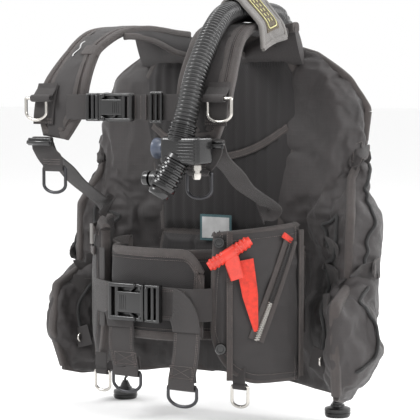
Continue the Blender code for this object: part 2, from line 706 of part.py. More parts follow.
def make_pockets():
    for (name, side), front in zip(SIDES, (POCKET_FRONT_LEFT, POCKET_FRONT_RIGHT)):
        first, last = waist_angle(front), radians(76)
        round_arc = radians(22)

        def bottom(angle, first=first):
            share = max(0, 1 - (abs(angle) - first) / round_arc)
            return POCKET_BOTTOM + 0.090 * (1 - sqrt(1 - min(share, 1) ** 2))

        def top(angle, first=first, last=last):
            return POCKET_TOP - 0.012 + 0.012 * (abs(angle) - first) / (last - first)

        angles = [first + round_arc * (1 - cos(t)) for t in np.linspace(0, pi / 2, 6)]
        angles += list(np.linspace(first + round_arc, last, 5))[1:]
        rows = waist_sheet([side * a for a in angles], -POCKET_THICK / 2, bottom, top)
        smooth_shade(shell("weight_pocket_" + name, rows, POCKET_THICK, "nylon"), 60)
        x, y = waist(waist_angle(0.135), -POCKET_THICK / 2 + 0.004)
        z = POCKET_BOTTOM - RING_WIRE - 0.002
        d_ring("pocket_d_ring_" + name, (x, y, z), 0.0145, 0.032, "steel", side)


BUCKLE_TALL = WAIST_WEB + 0.008
BUCKLE_THICK = 0.014
BUCKLE_X = -0.016  # middle of the waist buckle
BELT_WEB_Y = WAIST_Y - WAIST_DEPTH + BELT_FRONT / 2 - WEB / 2
CATCH = 0.030  # how deep the buckle's tongue sits, and how far it slides out


def side_release(name, centre, length, tall, thick, male_side):
    """A side-release buckle: a body with a bore and a tongue piece that slides into it. Each half has a
    slot for its webbing."""
    x, y, z = centre
    s = male_side
    mouth = x + s * length * 0.20
    ends = sorted((x - s * length / 2, mouth))
    low, high = (y - thick / 2, z - tall / 2), (y + thick / 2, z + tall / 2)
    body = box(name + "_female", (ends[0], *low), (ends[1], *high), "black_plastic", 0.003)
    bore = sorted((mouth - s * CATCH, mouth + s * 0.01))
    cut(body, box_mesh(name + "_bore", (bore[0], y - thick * 0.30, z - tall * 0.40),
                       (bore[1], y + thick * 0.30, z + tall * 0.40)))
    slot = sorted((x - s * (length / 2 - 0.006), x - s * (length / 2 - 0.012)))
    cut(body, box_mesh(name + "_slot", (slot[0], y - thick, z - tall * 0.43),
                       (slot[1], y + thick, z + tall * 0.43)))
    start = mouth + s * GAP
    head = sorted((start, x + s * length / 2))
    tongue = sorted((start + s * 0.002, mouth - s * (CATCH - 0.002)))
    male = box(name + "_male", (head[0], *low), (head[1], *high), "black_plastic", 0.003,
               origin=(mouth, y, z))
    for shape, sign in (("top", 1), ("bottom", -1)):
        reach = sorted((z + sign * tall * 0.37, z + sign * tall * 0.20))
        data = box_mesh(name + "_prong_" + shape, (tongue[0], y - thick * 0.24, reach[0]),
                        (tongue[1], y + thick * 0.24, reach[1]))
        join(male, data)
    slot = sorted((x + s * (length / 2 - 0.005), x + s * (length / 2 - 0.010)))
    cut(male, box_mesh(name + "_male_slot", (slot[0], y - thick, z - tall * 0.43),
                       (slot[1], y + thick, z + tall * 0.43)))


def make_waist_belt():
    y = BELT_WEB_Y
    buckle_y = y - WEB / 2 - 2 * GAP - BUCKLE_THICK / 2
    side_release("waist_buckle", (BUCKLE_X, buckle_y, WAIST_Z), WAIST_BUCKLE, BUCKLE_TALL, BUCKLE_THICK, 1)
    reach = waist_angle(POCKET_FRONT_LEFT) - 0.02
    end = waist(reach, WEB)
    line = [(0.012, y, WAIST_Z), (0.045, y, WAIST_Z), (0.074, y, WAIST_Z), (0.084, y + 0.004, WAIST_Z),
            (end[0], end[1], WAIST_Z)]
    ribbon("waist_strap_left", line, WAIST_WEB, "webbing", across=(0, 0, 1))
    reach = waist_angle(POCKET_FRONT_RIGHT) - 0.02
    turns = np.linspace(radians(24), reach, 5)
    line = [(-0.045, y, WAIST_Z), (-0.062, y, WAIST_Z)]
    line += [(-waist(a, WEB)[0], waist(a, WEB)[1], WAIST_Z) for a in turns]
    ribbon("waist_strap_right", line, WAIST_WEB, "webbing", across=(0, 0, 1))
    make_tails(buckle_y)


def make_tails(buckle_y):
    """Two free webbing ends that hang from the buckle, each with a D-ring sewn in its end."""
    top = WAIST_Z - WAIST_WEB / 2 - 0.006
    y = BELT_WEB_Y - 0.002
    for name, x, low_x, low in (("left", 0.074, 0.066, -0.249), ("right", -0.047, -0.036, -0.236)):
        line = spline([(x, y, top), (x * 0.98, y - 0.003, (top + low) / 2), (low_x, y - 0.001, low)], 7)
        ribbon("waist_tail_" + name, line, WAIST_WEB * 0.96, "webbing")
        d_ring("tail_d_ring_" + name, (low_x, y - 0.001, low - RING_WIRE - 0.0015), WAIST_WEB / 2 + 0.001,
               0.030, "dark_metal")


# Chest strap

CHEST_BUCKLE_HALF = 0.0055  # half the chest buckle's thickness


def make_chest():
    front = strap_offset(CHEST_Z - CHEST_WEB / 2 - 0.004, WEB_FRONT)[1] - 0.002
    z = CHEST_Z
    end = SHOULDER_X - 0.010
    ribbon("chest_strap_left", [(0.008, front, z), (0.05, front, z), (end, front, z)], CHEST_WEB, "webbing",
           across=(0, 0, 1))
    ribbon("chest_strap_right", [(-end, front, z), (-0.090, front, z), (-0.048, front, z)], CHEST_WEB,
           "webbing", across=(0, 0, 1))
    y = front - WEB / 2 - GAP - CHEST_BUCKLE_HALF
    side_release("chest_buckle", (-0.024, y, z), CHEST_BUCKLE, CHEST_WEB + 0.004, 2 * CHEST_BUCKLE_HALF, -1)
    slots = [(0.005, 0.005, CHEST_WEB + 0.001), (-0.005, 0.005, CHEST_WEB + 0.001)]
    frame("chest_triglide", CHEST_WEB + 0.008, 0.022, 0.004, (0.058, front - WEB / 2 - GAP - 0.002, z),
          slots, "black_plastic", turned=True)


# Dump valves with their pull cords

PULLS = (("left", 1, 0.2056, -0.290), ("right", -1, 0.2056, -0.302))


def make_dump_valves():
    for name, side, x, top in PULLS:
        front, rear = wing_faces(side, 0.50, 0.17)
        out = (Vector(rear) - Vector(front)).normalized()
        base = Vector(rear) + out * 0.007
        drum("dump_valve_" + name, base, base + out * VALVE_THICK, VALVE_RADIUS, "black_plastic", 0.020)
        start = base + out * VALVE_THICK / 2 - Vector((0, 0, VALVE_RADIUS + CORD_RADIUS + 0.001))
        knob = Vector((side * x, -0.0167, top))
        line = spline([start, (start.x * 0.99, start.y * 0.9, start.z - 0.025),
                       (knob.x, knob.y + 0.020, WING_BOTTOM * 1.055 - 0.001),
                       knob + Vector((0, 0, 0.004))], 10)
        line = np.vstack([line, knob + Vector((0, 0, GAP))])
        tube("pull_cord_" + name, line, CORD_RADIUS, "webbing")
        body = drum("pull_knob_" + name, knob, knob - Vector((0, 0, 0.018)), 0.006, "black_plastic", 0.013,
                    origin=knob)
        down = Vector((0, 0, -KNOB_DEEP))
        join(body, drum_mesh("pull_disc", knob + down / 2, knob + down, KNOB_RADIUS, KNOB_RADIUS * 0.97, 24))


# Tank side

def make_tank_mount():
    box("tank_pad", (-0.050, -TANK_PAD, -0.060), (0.050, 0, 0.060), "black_plastic", 0.0015)
    centre = TANK_RADIUS
    for name, z, width, thick in (
        ("tank_band", BAND_Z, BAND_WIDTH, WEB),
        ("positioning_strap", 0.190, 0.025, 0.002),
    ):
        ring = TANK_RADIUS + thick / 2 + GAP
        angles = np.linspace(0, 2 * pi, 40, endpoint=False)
        rows = [[(ring * sin(a), centre - ring * cos(a), z + h) for h in (-width / 2, width / 2)]
                for a in angles]
        smooth_shade(shell(name, rows, thick, "webbing", closed=True), 60)
    back = 2 * TANK_RADIUS + WEB + 2 * GAP + 0.0006
    box("cam_buckle_base", (-0.040, back, BAND_Z - 0.029), (0.040, back + 0.004, BAND_Z + 0.029),
        "black_plastic", 0.001)
    hinge = (0.034, back + 0.004 + GAP + 0.006, BAND_Z)
    lever = box("cam_lever", (-0.042, hinge[1] - 0.001, BAND_Z - 0.026),
                (0.034, hinge[1] + 0.005, BAND_Z + 0.026), "black_plastic", 0.0012, origin=hinge)
    join(lever, drum_mesh("cam", (hinge[0], hinge[1], BAND_Z - 0.026), (hinge[0], hinge[1], BAND_Z + 0.026),
                          0.0058, sides=16))
    grip = spline([(-0.048, 0.001, 0.243), (-0.044, 0.022, 0.250), (-0.020, 0.032, 0.254),
                   (0.020, 0.032, 0.254), (0.044, 0.022, 0.250), (0.048, 0.001, 0.243)], 13)
    tube("carry_handle", grip, 0.006, "webbing")


# Weight pocket's release handle and the wing's bungees

def make_ripcord():
    """The red T handle on the front of the left pocket."""
    angle = waist_angle(0.120)
    x, y = waist(angle, 0.014)
    middle = Vector((x, y, -0.0515))
    along = Vector((0.85 * cos(angle), 0.85 * sin(angle), 0.53)).normalized()
    reach = along * HANDLE_HALF
    handle = drum("ripcord_handle", middle - reach, middle + reach, HANDLE_RADIUS, "red_rubber",
                  sides=14, origin=middle)
    end = middle + Vector((0.012 * cos(angle), 0.012 * sin(angle), -0.036))
    join(handle, drum_mesh("handle_neck", middle, end, 0.0075, 0.0065, 12))


def make_bungees():
    """One elastic cord a side, laced over the front of the wing between its tabs."""
    route = ((0.64, 0.47), (0.69, 0.53), (0.77, 0.57), (0.83, 0.60), (0.86, 0.56), (0.84, 0.47),
             (0.66, 0.40), (0.60, 0.30), (0.74, 0.34), (0.88, 0.26), (0.86, 0.14))
    for name, side in SIDES:
        line = []
        for u, v in spline(route, 41):
            front, rear = np.array(wing_faces(side, u, v))
            out = (front - rear) / np.linalg.norm(front - rear)
            line.append(front + out * (CORD_RADIUS + 0.0145))
        tube("bungee_" + name, line, CORD_RADIUS, "hose_rubber", resolution=1)


clear_scene()
VEST = new_collection("buoyancy_vest")
CUTTERS = new_collection("cutters")
make_bladder()
make_back()
make_shoulders()
make_hose()
make_cummerbund()
make_pockets()
make_waist_belt()
make_chest()
make_dump_valves()
make_tank_mount()
make_ripcord()
make_bungees()
bpy.context.view_layer.update()
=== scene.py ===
"""Looks of a diver's back-inflation buoyancy vest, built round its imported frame.

Metres, +Z up. The wearer faces -Y and +X is the wearer's left. Every piece is a surface worked out
with numpy, in the frame's own place, so each object stays at the origin.
"""

import json
from math import cos, pi, radians, sin

import bpy
import numpy as np
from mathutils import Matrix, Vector
from mathutils.bvhtree import BVHTree


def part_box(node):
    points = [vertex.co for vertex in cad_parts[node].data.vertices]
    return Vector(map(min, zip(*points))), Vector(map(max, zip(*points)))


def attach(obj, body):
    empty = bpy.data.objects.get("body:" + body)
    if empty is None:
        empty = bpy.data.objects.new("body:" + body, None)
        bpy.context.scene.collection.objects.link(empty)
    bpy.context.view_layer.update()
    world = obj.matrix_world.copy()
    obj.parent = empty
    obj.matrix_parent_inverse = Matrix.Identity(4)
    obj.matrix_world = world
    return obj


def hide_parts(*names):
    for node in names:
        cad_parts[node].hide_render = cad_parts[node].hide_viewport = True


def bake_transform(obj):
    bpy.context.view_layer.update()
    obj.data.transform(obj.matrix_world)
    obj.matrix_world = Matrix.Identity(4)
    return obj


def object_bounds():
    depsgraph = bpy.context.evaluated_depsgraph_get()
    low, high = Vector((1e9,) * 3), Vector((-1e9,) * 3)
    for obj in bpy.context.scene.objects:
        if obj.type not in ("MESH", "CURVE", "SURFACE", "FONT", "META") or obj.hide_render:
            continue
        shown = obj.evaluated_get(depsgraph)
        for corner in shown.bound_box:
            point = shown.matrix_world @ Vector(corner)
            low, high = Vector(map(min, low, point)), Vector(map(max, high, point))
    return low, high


bl_info = {
    "name": "Buoyancy vest",
    "version": (1, 0, 0),
    "blender": (4, 5, 0),
    "location": "View3D > Sidebar > Vest",
    "description": "Makes the cloth, webbing, hose and buckles of a diver's buoyancy vest",
    "category": "Object",
}

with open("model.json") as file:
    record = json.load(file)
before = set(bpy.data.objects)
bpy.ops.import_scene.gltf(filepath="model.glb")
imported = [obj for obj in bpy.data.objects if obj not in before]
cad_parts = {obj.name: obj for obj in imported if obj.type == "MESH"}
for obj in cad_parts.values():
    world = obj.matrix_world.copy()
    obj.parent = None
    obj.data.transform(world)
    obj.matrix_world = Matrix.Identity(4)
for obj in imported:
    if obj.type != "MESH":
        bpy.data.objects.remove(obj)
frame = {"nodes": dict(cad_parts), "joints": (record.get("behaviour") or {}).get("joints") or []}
CAD_BOX = [list(corner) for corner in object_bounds()]
BOX = {name: np.array(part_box(name), float) for name in frame["nodes"]}
SIDES = (("left", 1), ("right", -1))
UP = np.array([0.0, 0.0, 1.0])
WIRE = 0.0025  # radius of a D-ring's wire
HOSE_X = 0.1262  # where the hose hangs on the chest
POCKET_FRONTS = (0.102, 0.128)  # front edges of the left and the right pocket
POCKET_TOP, POCKET_BOTTOM = -0.012, -0.250
FLAP_TOP, FLAP_BOTTOM, FLAP_THICK, FLAP_END = -0.050, -0.185, 0.006, 0.084
HANDLE_X = 0.120  # where the red handle sits across the front


def middle(node):
    return BOX[node].mean(axis=0)


def columns(x, y, z):
    """Points from their three coordinates, each an array or one number for all of them."""
    return np.stack(np.broadcast_arrays(x, y, z), axis=-1).astype(float)


# Sizes and colours that a user would change

def length(name, description, default):
    return bpy.props.FloatProperty(name=name, description=description, default=default, unit="LENGTH",
                                   precision=4)


def colour(name, description, default):
    return bpy.props.FloatVectorProperty(name=name, description=description, default=default,
                                         subtype="COLOR",
                                         size=3, min=0.0, max=1.0)


class VestSizes(bpy.types.PropertyGroup):
    waist_half: length("Waist half width", "Outside of the pockets, from the middle", 0.195)
    waist_depth: length("Waist depth", "From the waist oval's centre to its front", 0.180)
    waist_y: length("Waist centre", "Where the waist oval's centre lies, front to back", -0.060)
    shoulder_top: length("Shoulder height", "Top of the padded straps' centre line", 0.286)
    shoulder_x: length("Shoulder place", "Padded straps' distance from the middle", 0.120)
    chest_y: length("Chest place", "Padded straps' centre line at the chest", -0.284)
    strap_width: length("Padded strap width", "Width of a shoulder strap", 0.090)
    strap_thick: length("Padded strap thickness", "Thickness of a shoulder strap", 0.012)
    web: length("Webbing thickness", "Thickness of all webbing", 0.0025)
    hose_radius: length("Hose radius", "Outside of the corrugated hose", 0.017)
    ring_pitch: length("Hose ring pitch", "From one ring of the hose to the next", 0.0056)
    binding: length("Binding width", "Width of the tape folded over cloth edges", 0.013)
    stitch: length("Stitch length", "Length of one stitch and its gap", 0.0034)


class VestColours(bpy.types.PropertyGroup):
    nylon: colour("Nylon", "Coated cloth of the wing and the straps", (0.0175, 0.0142, 0.0142))
    lining: colour("Lining", "Padded cloth against the wearer", (0.0085, 0.0072, 0.0075))
    webbing: colour("Webbing", "Woven straps", (0.0125, 0.0102, 0.0100))
    tape: colour("Binding", "Tape over the cloth edges", (0.029, 0.0235, 0.0220))
    plastic: colour("Plastic", "Buckles and the inflator", (0.0042, 0.0040, 0.0042))
    rubber: colour("Rubber", "Hose and bungees", (0.0070, 0.0068, 0.0070))
    silicone: colour("Silicone", "Mouthpiece", (0.035, 0.045, 0.070))
    red: colour("Red", "Release handle", (0.42, 0.022, 0.010))
    gold: colour("Gold", "Border of the shoulder patch", (0.72, 0.50, 0.20))
    sleeve: colour("Sleeve", "Cloth band over the hose", (0.105, 0.098, 0.092))


def sizes():
    return bpy.context.scene.vest_sizes


def colours():
    return bpy.context.scene.vest_colours


# Shader maths

class Socket:
    """A node's output or a number, with arithmetic that adds Math nodes."""

    def __init__(self, tree, link):
        self.tree, self.link = tree, link

    def math(self, operation, *others):
        node = self.tree.nodes.new("ShaderNodeMath")
        node.operation = operation
        for socket, value in zip(node.inputs, (self, *others)):
            connect(self.tree, value, socket)
        return Socket(self.tree, node.outputs[0])

    def __add__(self, other):
        return self.math("ADD", other)

    def __mul__(self, other):
        return self.math("MULTIPLY", other)

    __radd__ = __add__
    __rmul__ = __mul__

    def __sub__(self, other):
        return self.math("SUBTRACT", other)

    def __rsub__(self, other):
        return self.math("MULTIPLY_ADD", -1.0, other)

    def __truediv__(self, other):
        return self.math("DIVIDE", other)

    def __pow__(self, other):
        return self.math("POWER", other)

    def sine(self):
        return self.math("SINE")

    def clamp(self):
        return self.math("MAXIMUM", 0.0).math("MINIMUM", 1.0)

    def wave(self, pitch):
        """A wave from 0 to 1 of this pitch in metres."""
        return (self * (2 * pi / pitch)).sine() * 0.5 + 0.5


def connect(tree, value, socket):
    if isinstance(value, Socket):
        tree.links.new(value.link, socket)
    elif value is not None:
        socket.default_value = value


class Finish:
    """A material under construction: its node tree and one method for any node."""

    def __init__(self, name, roughness, metallic=0.0, sheen=0.0, coat=0.0):
        self.material = bpy.data.materials.new(name)
        self.material.use_nodes = True
        self.tree = self.material.node_tree
        self.shader = self.tree.nodes["Principled BSDF"]
        self.shader.inputs["Metallic"].default_value = metallic
        self.shader.inputs["Roughness"].default_value = roughness
        self.shader.inputs["Sheen Weight"].default_value = sheen
        self.shader.inputs["Sheen Roughness"].default_value = 0.45
        self.shader.inputs["Coat Weight"].default_value = coat

    def node(self, kind, settings=None, output=0, **values):
        """Adds a node: its settings first, then the values or links of its sockets by name."""
        made = self.tree.nodes.new(kind)
        for key, value in (settings or {}).items():
            setattr(made, key, value)
        for key, value in values.items():
            connect(self.tree, value, made.inputs[key.replace("_", " ")])
        return Socket(self.tree, made.outputs[output])

    def place(self, kind="Object"):
        return self.node("ShaderNodeTexCoord", output=("Generated", "Normal", "UV", "Object").index(kind))

    def split(self, vector):
        made = self.tree.nodes.new("ShaderNodeSeparateXYZ")
        connect(self.tree, vector, made.inputs[0])
        return [Socket(self.tree, made.outputs[i]) for i in range(3)]

    def noise(self, scale, detail=3.0, vector=None, rough=0.55):
        return self.node("ShaderNodeTexNoise", Vector=vector or self.place(), Scale=scale, Detail=detail,
                         Roughness=rough)

    def mix(self, share, first, second):
        made = self.tree.nodes.new("ShaderNodeMix")
        made.data_type = "RGBA"
        connect(self.tree, share, made.inputs[0])
        for socket, value in ((made.inputs[6], first), (made.inputs[7], second)):
            connect(self.tree, value if isinstance(value, Socket) else (*value, 1.0), socket)
        return Socket(self.tree, made.outputs[2])

    def surface(self, base, roughness=None, height=None, depth=0.0002, strength=1.0):
        """Links the colour, the roughness and a height in metres to the shader."""
        colour_value = base if isinstance(base, Socket) else (*base, 1.0)
        connect(self.tree, colour_value, self.shader.inputs["Base Color"])
        connect(self.tree, roughness, self.shader.inputs["Roughness"])
        if height is not None:
            bump = self.node("ShaderNodeBump", Height=height, Distance=depth, Strength=strength)
            connect(self.tree, bump, self.shader.inputs["Normal"])
        return self.material


def tint(rgb, factor):
    return tuple(min(1.0, channel * factor) for channel in rgb)


def nylon_finish(name, base, thread=0.0007, sheen=0.10, rough=0.56, square=0.006):
    """Plain weave with a ripstop square, on the piece's own UV map in metres."""
    finish = Finish(name, rough, sheen=sheen)
    u, v, _ = finish.split(finish.place("UV"))
    weave = u.wave(thread) * v.wave(thread)
    ripstop = (u.wave(square) ** 24.0).math("MAXIMUM", v.wave(square) ** 24.0)
    cloud = finish.noise(9.0, 4.0)
    speckle_sheen = finish.noise(60.0, 3.0)
    # Painted highlight: the colour is lighter where the weave, the ripstop and the fine speckle raise the
    # bump; the cloud is random tone.
    tone = (weave * 0.20 + ripstop * 0.10 + cloud * 0.90 + speckle_sheen * 0.45 - 0.30).clamp()
    base_colour = finish.mix(tone, tint(base, 0.45), tint(base, 1.9))
    height = weave * 0.5 + ripstop * 0.4 + speckle_sheen * 0.8
    return finish.surface(base_colour, cloud * 0.20 + (rough - 0.10), height, 0.0004, 0.8)


def mesh_finish(name, base, hole=0.0034):
    """Knitted spacer cloth: staggered round holes on the UV map."""
    finish = Finish(name, 0.85, sheen=0.10)
    u, v, _ = finish.split(finish.place("UV"))
    knit = u.wave(hole) * v.wave(hole * 1.4)
    stagger = (u + hole / 2).wave(hole) * (v + hole * 0.7).wave(hole * 1.4)
    holes = knit.math("MAXIMUM", stagger) ** 3.0
    cloud = finish.noise(14.0, 4.0)
    # Painted shade: the holes are painted darker where the bump sinks them; the cloud is random tone.
    tone = (cloud * 0.7 + (1.0 - holes) * 0.5 - 0.2).clamp()
    return finish.surface(finish.mix(tone, tint(base, 0.45), tint(base, 1.9)), cloud * 0.15 + 0.75,
                          1.0 - holes, 0.0006, 0.9)


def webbing_finish(name, base, rib=0.0016, sheen=0.10):
    """Woven tape: ribs across it, broken into a herringbone along it."""
    finish = Finish(name, 0.68, sheen=sheen)
    u, v, _ = finish.split(finish.place("UV"))
    chevron = (v * (2 * pi / 0.006)).sine().math("ARCSINE") * 0.00045
    ribs = (u + chevron).wave(rib)
    threads = v.wave(0.0011)
    cloud = finish.noise(22.0, 3.0) * 0.6 + finish.noise(150.0, 2.0) * 0.7
    # Painted highlight and painted shade: the colour is lighter on the raised ribs and threads and darker
    # between them; the cloud is random tone.
    tone = (ribs * 0.5 + threads * 0.25 + cloud - 0.45).clamp()
    return finish.surface(finish.mix(tone, tint(base, 0.35), tint(base, 2.3)), cloud * 0.2 + 0.52,
                          ribs + threads * 0.6, 0.0005, 0.8)


def plastic_finish(name, base, rough=0.34, grain=900.0, depth=0.00006):
    """Moulded plastic: a fine spark grain whose raised specks are painted paler, as painted highlight, over
    random cloudy tone.
    """
    finish = Finish(name, rough, coat=0.22)
    grit, cloud = finish.noise(grain, 2.0), finish.noise(35.0, 4.0)
    # Painted highlight: the grain's raised specks are painted paler; the cloud is random tone.
    tone = (cloud * 0.8 + grit * 0.3 - 0.2).clamp()
    return finish.surface(finish.mix(tone, tint(base, 0.7), tint(base, 2.1)), cloud * 0.18 + (rough - 0.08),
                          grit, depth, 0.8)


def metal_finish(name, base, rough=0.2, brush=700.0):
    """Tumbled stainless wire: fine scratches and soft cloudy wear."""
    finish = Finish(name, rough, metallic=1.0)
    scratch, cloud = finish.noise(brush, 3.0), finish.noise(50.0, 4.0)
    return finish.surface(finish.mix(cloud, tint(base, 0.78), tint(base, 1.15)),
                          scratch * 0.14 + (rough - 0.05), scratch, 0.00004, 0.5)


FINISHES = {}


def make_finishes():
    shade = colours()
    FINISHES.update(
        nylon=nylon_finish("coated_nylon", shade.nylon),
        ballistic=nylon_finish("ballistic_nylon", tint(shade.nylon, 0.78), thread=0.0011, square=0.0022,
                               rough=0.66),
        lining=mesh_finish("spacer_lining", shade.lining),
        pad_cloth=nylon_finish("pad_cloth", tint(shade.lining, 1.25), thread=0.0012, sheen=0.1, rough=0.72),
        webbing=webbing_finish("woven_webbing", shade.webbing),
        tape=webbing_finish("binding_tape", shade.tape, rib=0.0011, sheen=0.12),
        sleeve=nylon_finish("sleeve_cloth", shade.sleeve, thread=0.0010, sheen=0.2, rough=0.75,
                            square=0.002),
        plastic=plastic_finish("black_acetal", shade.plastic),
        gloss=plastic_finish("polished_acetal", shade.plastic, rough=0.24, grain=400.0, depth=0.00002),
        hose=plastic_finish("hose_rubber", shade.rubber, rough=0.33, grain=500.0),
        silicone=plastic_finish("soft_silicone", shade.silicone, rough=0.48, grain=300.0),
        cord=webbing_finish("cord_sheath", tint(shade.rubber, 0.9), rib=0.0012),
        steel=metal_finish("stainless_wire", (0.50, 0.48, 0.45), rough=0.24),
        dark_metal=metal_finish("dark_wire", (0.060, 0.060, 0.064), rough=0.36),
        red=plastic_finish("red_rubber", shade.red, rough=0.42, grain=350.0),
        red_web=webbing_finish("red_webbing", tint(shade.red, 0.9)),
        thread=webbing_finish("thread", tint(shade.tape, 3.2), rib=0.0006),
        gold=webbing_finish("gold_thread", shade.gold, rib=0.0008),
        patch=webbing_finish("patch_ground", (0.045, 0.030, 0.010), rib=0.0008),
        label=nylon_finish("label_cloth", (0.40, 0.40, 0.40), thread=0.0004, rough=0.6, square=0.0009),
        teal=nylon_finish("label_backing", (0.030, 0.075, 0.085), thread=0.0008),
    )


# Mesh building

def signed_volume(points, quads):
    a, b, c, d = (points[quads[:, i]] for i in range(4))
    return np.einsum("ij,ij->", a, np.cross(b, c)) + np.einsum("ij,ij->", a, np.cross(c, d))


def shell(rows, ring=False, loop=False):
    """Quads over a grid of points. ring joins each row to itself and, unless loop joins the last row to
    the first, closes both ends with strips. UVs are arc lengths in metres, down and across the grid."""
    rows = np.asarray(rows, float)
    n, m = rows.shape[:2]
    i, j = np.meshgrid(np.arange(n if loop else n - 1), np.arange(m if ring else m - 1), indexing="ij")
    i, j = i.ravel(), j.ravel()
    i2, j2 = (i + 1) % n, (j + 1) % m
    quads = np.stack([i * m + j, i2 * m + j, i2 * m + j2, i * m + j2], axis=1)
    wide = np.concatenate([rows, rows[:, :1]], axis=1)
    tall = np.concatenate([wide, wide[:1]], axis=0)
    steps_across, steps_down = (np.linalg.norm(np.diff(tall, axis=way), axis=2) for way in (1, 0))
    across = np.concatenate([np.zeros((n + 1, 1)), np.cumsum(steps_across, axis=1)], axis=1)
    down = np.concatenate([np.zeros((1, m + 1)), np.cumsum(steps_down, axis=0)])
    down = np.broadcast_to(down.mean(axis=1, keepdims=True), down.shape)
    uv = np.stack([down, across], axis=2)
    corners = np.stack([uv[i, j], uv[i + 1, j], uv[i + 1, j + 1], uv[i, j + 1]], axis=1)
    points = rows.reshape(-1, 3)
    if ring and not loop:
        k = np.arange(m // 2 - 1)
        for row, flip in ((0, False), (n - 1, True)):
            cap = np.stack([k, k + 1, m - 2 - k, m - 1 - k], axis=1) + row * m
            quads = np.concatenate([quads, cap[:, ::-1] if flip else cap])
            corners = np.concatenate([corners, np.zeros((len(k), 4, 2)) + points[cap][:, :, [0, 2]]])
    if (ring or loop) and signed_volume(points - points.mean(axis=0), quads) < 0:
        quads, corners = quads[:, ::-1], corners[:, ::-1]
    return points, quads, corners


def skin(front, back):
    """A closed body between two sheets of the same grid, their edges joined all round."""
    n, m = front.shape[:2]
    points, quads, corners = shell(front)
    rear_points, rear_quads, rear_corners = shell(back)
    edge = np.concatenate([np.arange(n) * m, (n - 1) * m + np.arange(1, m),
                           np.arange(n - 2, -1, -1) * m + m - 1, np.arange(m - 2, 0, -1)])
    after = np.roll(edge, -1)
    rim = np.stack([after, edge, edge + n * m, after + n * m], axis=1)
    flat = np.zeros((len(rim), 4, 2))
    flat[:, :, 0] = np.arange(len(rim))[:, None] * 0.002
    flat[:, 2:, 1] = 0.004
    every = np.concatenate([points, rear_points])
    quads = np.concatenate([quads, rear_quads[:, ::-1] + n * m, rim])
    corners = np.concatenate([corners, rear_corners[:, ::-1], flat])
    if signed_volume(every - every.mean(axis=0), quads) < 0:
        quads, corners = quads[:, ::-1], corners[:, ::-1]
    return every, quads, corners


def piece(name, shells, finish, body="vest", stands_for=(), sharp=50):
    """One object from closed shells, with its finish and body, hiding the frame's parts it stands for."""
    shells = list(shells)
    starts = np.cumsum([0] + [len(points) for points, _, _ in shells[:-1]])
    points = np.concatenate([points for points, _, _ in shells])
    quads = np.concatenate([quads + start for (_, quads, _), start in zip(shells, starts)])
    corners = np.concatenate([uv for _, _, uv in shells])
    data = bpy.data.meshes.new(name)
    data.vertices.add(len(points))
    data.vertices.foreach_set("co", points.ravel())
    data.loops.add(quads.size)
    data.loops.foreach_set("vertex_index", quads.ravel().astype(np.int32))
    data.polygons.add(len(quads))
    data.polygons.foreach_set("loop_start", np.arange(0, quads.size, 4, dtype=np.int32))
    data.update(calc_edges=True)
    layer = data.uv_layers.new(name="UVMap")
    layer.data.foreach_set("uv", corners.ravel())
    data.shade_smooth()
    data.set_sharp_from_angle(angle=radians(sharp))
    made = bpy.data.objects.new(name, data)
    bpy.context.scene.collection.objects.link(made)
    made.data.materials.append(FINISHES[finish])
    if body:
        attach(made, body)
    if stands_for:
        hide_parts(*stands_for)
    return made


def sewn(name, rows, body="vest"):
    """Rows of thread as one piece."""
    return piece(name, rows, "thread", body)


def bound(name, tapes):
    """Binding tape as one piece."""
    return piece(name, tapes, "tape")


def unit(vectors):
    return vectors / np.maximum(np.linalg.norm(vectors, axis=-1, keepdims=True), 1e-12)


def spline(points, count):
    """Catmull-Rom: each span is the cubic whose slopes at its ends point from the point before to the
    one after; then resampled to even steps along its length."""
    p = np.asarray(points, float)
    ends = np.vstack([2 * p[0] - p[1], p, 2 * p[-1] - p[-2]])
    t = np.linspace(0, len(p) - 1, 40 * len(p))
    k = np.minimum(t.astype(int), len(p) - 2)
    f = (t - k)[:, None]
    a, b, c, d = ends[k], ends[k + 1], ends[k + 2], ends[k + 3]
    return resample(catmull_rom(a, b, c, d, f), count)


def catmull_rom(a, b, c, d, f):
    """The cubic from b (f = 0) to c (f = 1) whose slopes there are (c - a) / 2 and (d - b) / 2."""
    return 0.5 * (2 * b + (c - a) * f + (2 * a - 5 * b + 4 * c - d) * f**2 + (3 * b - a - 3 * c + d) * f**3)


def distances(line):
    """How far along a line each of its points lies."""
    return np.concatenate([[0], np.cumsum(np.linalg.norm(np.diff(line, axis=0), axis=1))])


def between(where, stations, values):
    """Rows of values, known at stations, read at other places along them."""
    return np.stack([np.interp(where, stations, values[:, i]) for i in range(values.shape[1])], axis=1)


def resample(line, count):
    steps = distances(line)
    return between(np.linspace(0, steps[-1], count), steps, line)


def superellipse(count, power):
    """A closed profile between a circle (power 2) and a square (high power), in the unit box."""
    t = (np.arange(count) + 0.5) * 2 * pi / count
    return np.stack([np.sign(np.cos(t)) * np.abs(np.cos(t)) ** (2 / power),
                     np.sign(np.sin(t)) * np.abs(np.sin(t)) ** (2 / power)], axis=1)


def sweep(path, half_width, half_thick, across=None, normal=None, power=2.0, sides=16, loop=False):
    """A superellipse carried along a path: its width runs along across, its thickness square to both."""
    path = np.asarray(path, float)
    if loop:
        along = unit(np.roll(path, -1, axis=0) - np.roll(path, 1, axis=0))
    else:
        along = unit(np.gradient(path, axis=0))
    if across is None:
        across = np.cross(along, normal if normal is not None else steady(along))
    across = unit(across - along * np.sum(across * along, axis=-1, keepdims=True) * np.ones_like(along))
    up = np.cross(along, across)
    shape = superellipse(sides, power)
    wide = np.broadcast_to(half_width, len(path))[:, None, None]
    thick = np.broadcast_to(half_thick, len(path))[:, None, None]
    rows = path[:, None] + across[:, None] * shape[None, :, :1] * wide
    rows = rows + up[:, None] * shape[None, :, 1:] * thick
    return shell(rows, ring=True, loop=loop)


def steady(along):
    """A direction square to none of a path's tangents, for round sections."""
    mean = np.abs(along).mean(axis=0)
    return np.eye(3)[mean.argmin()]


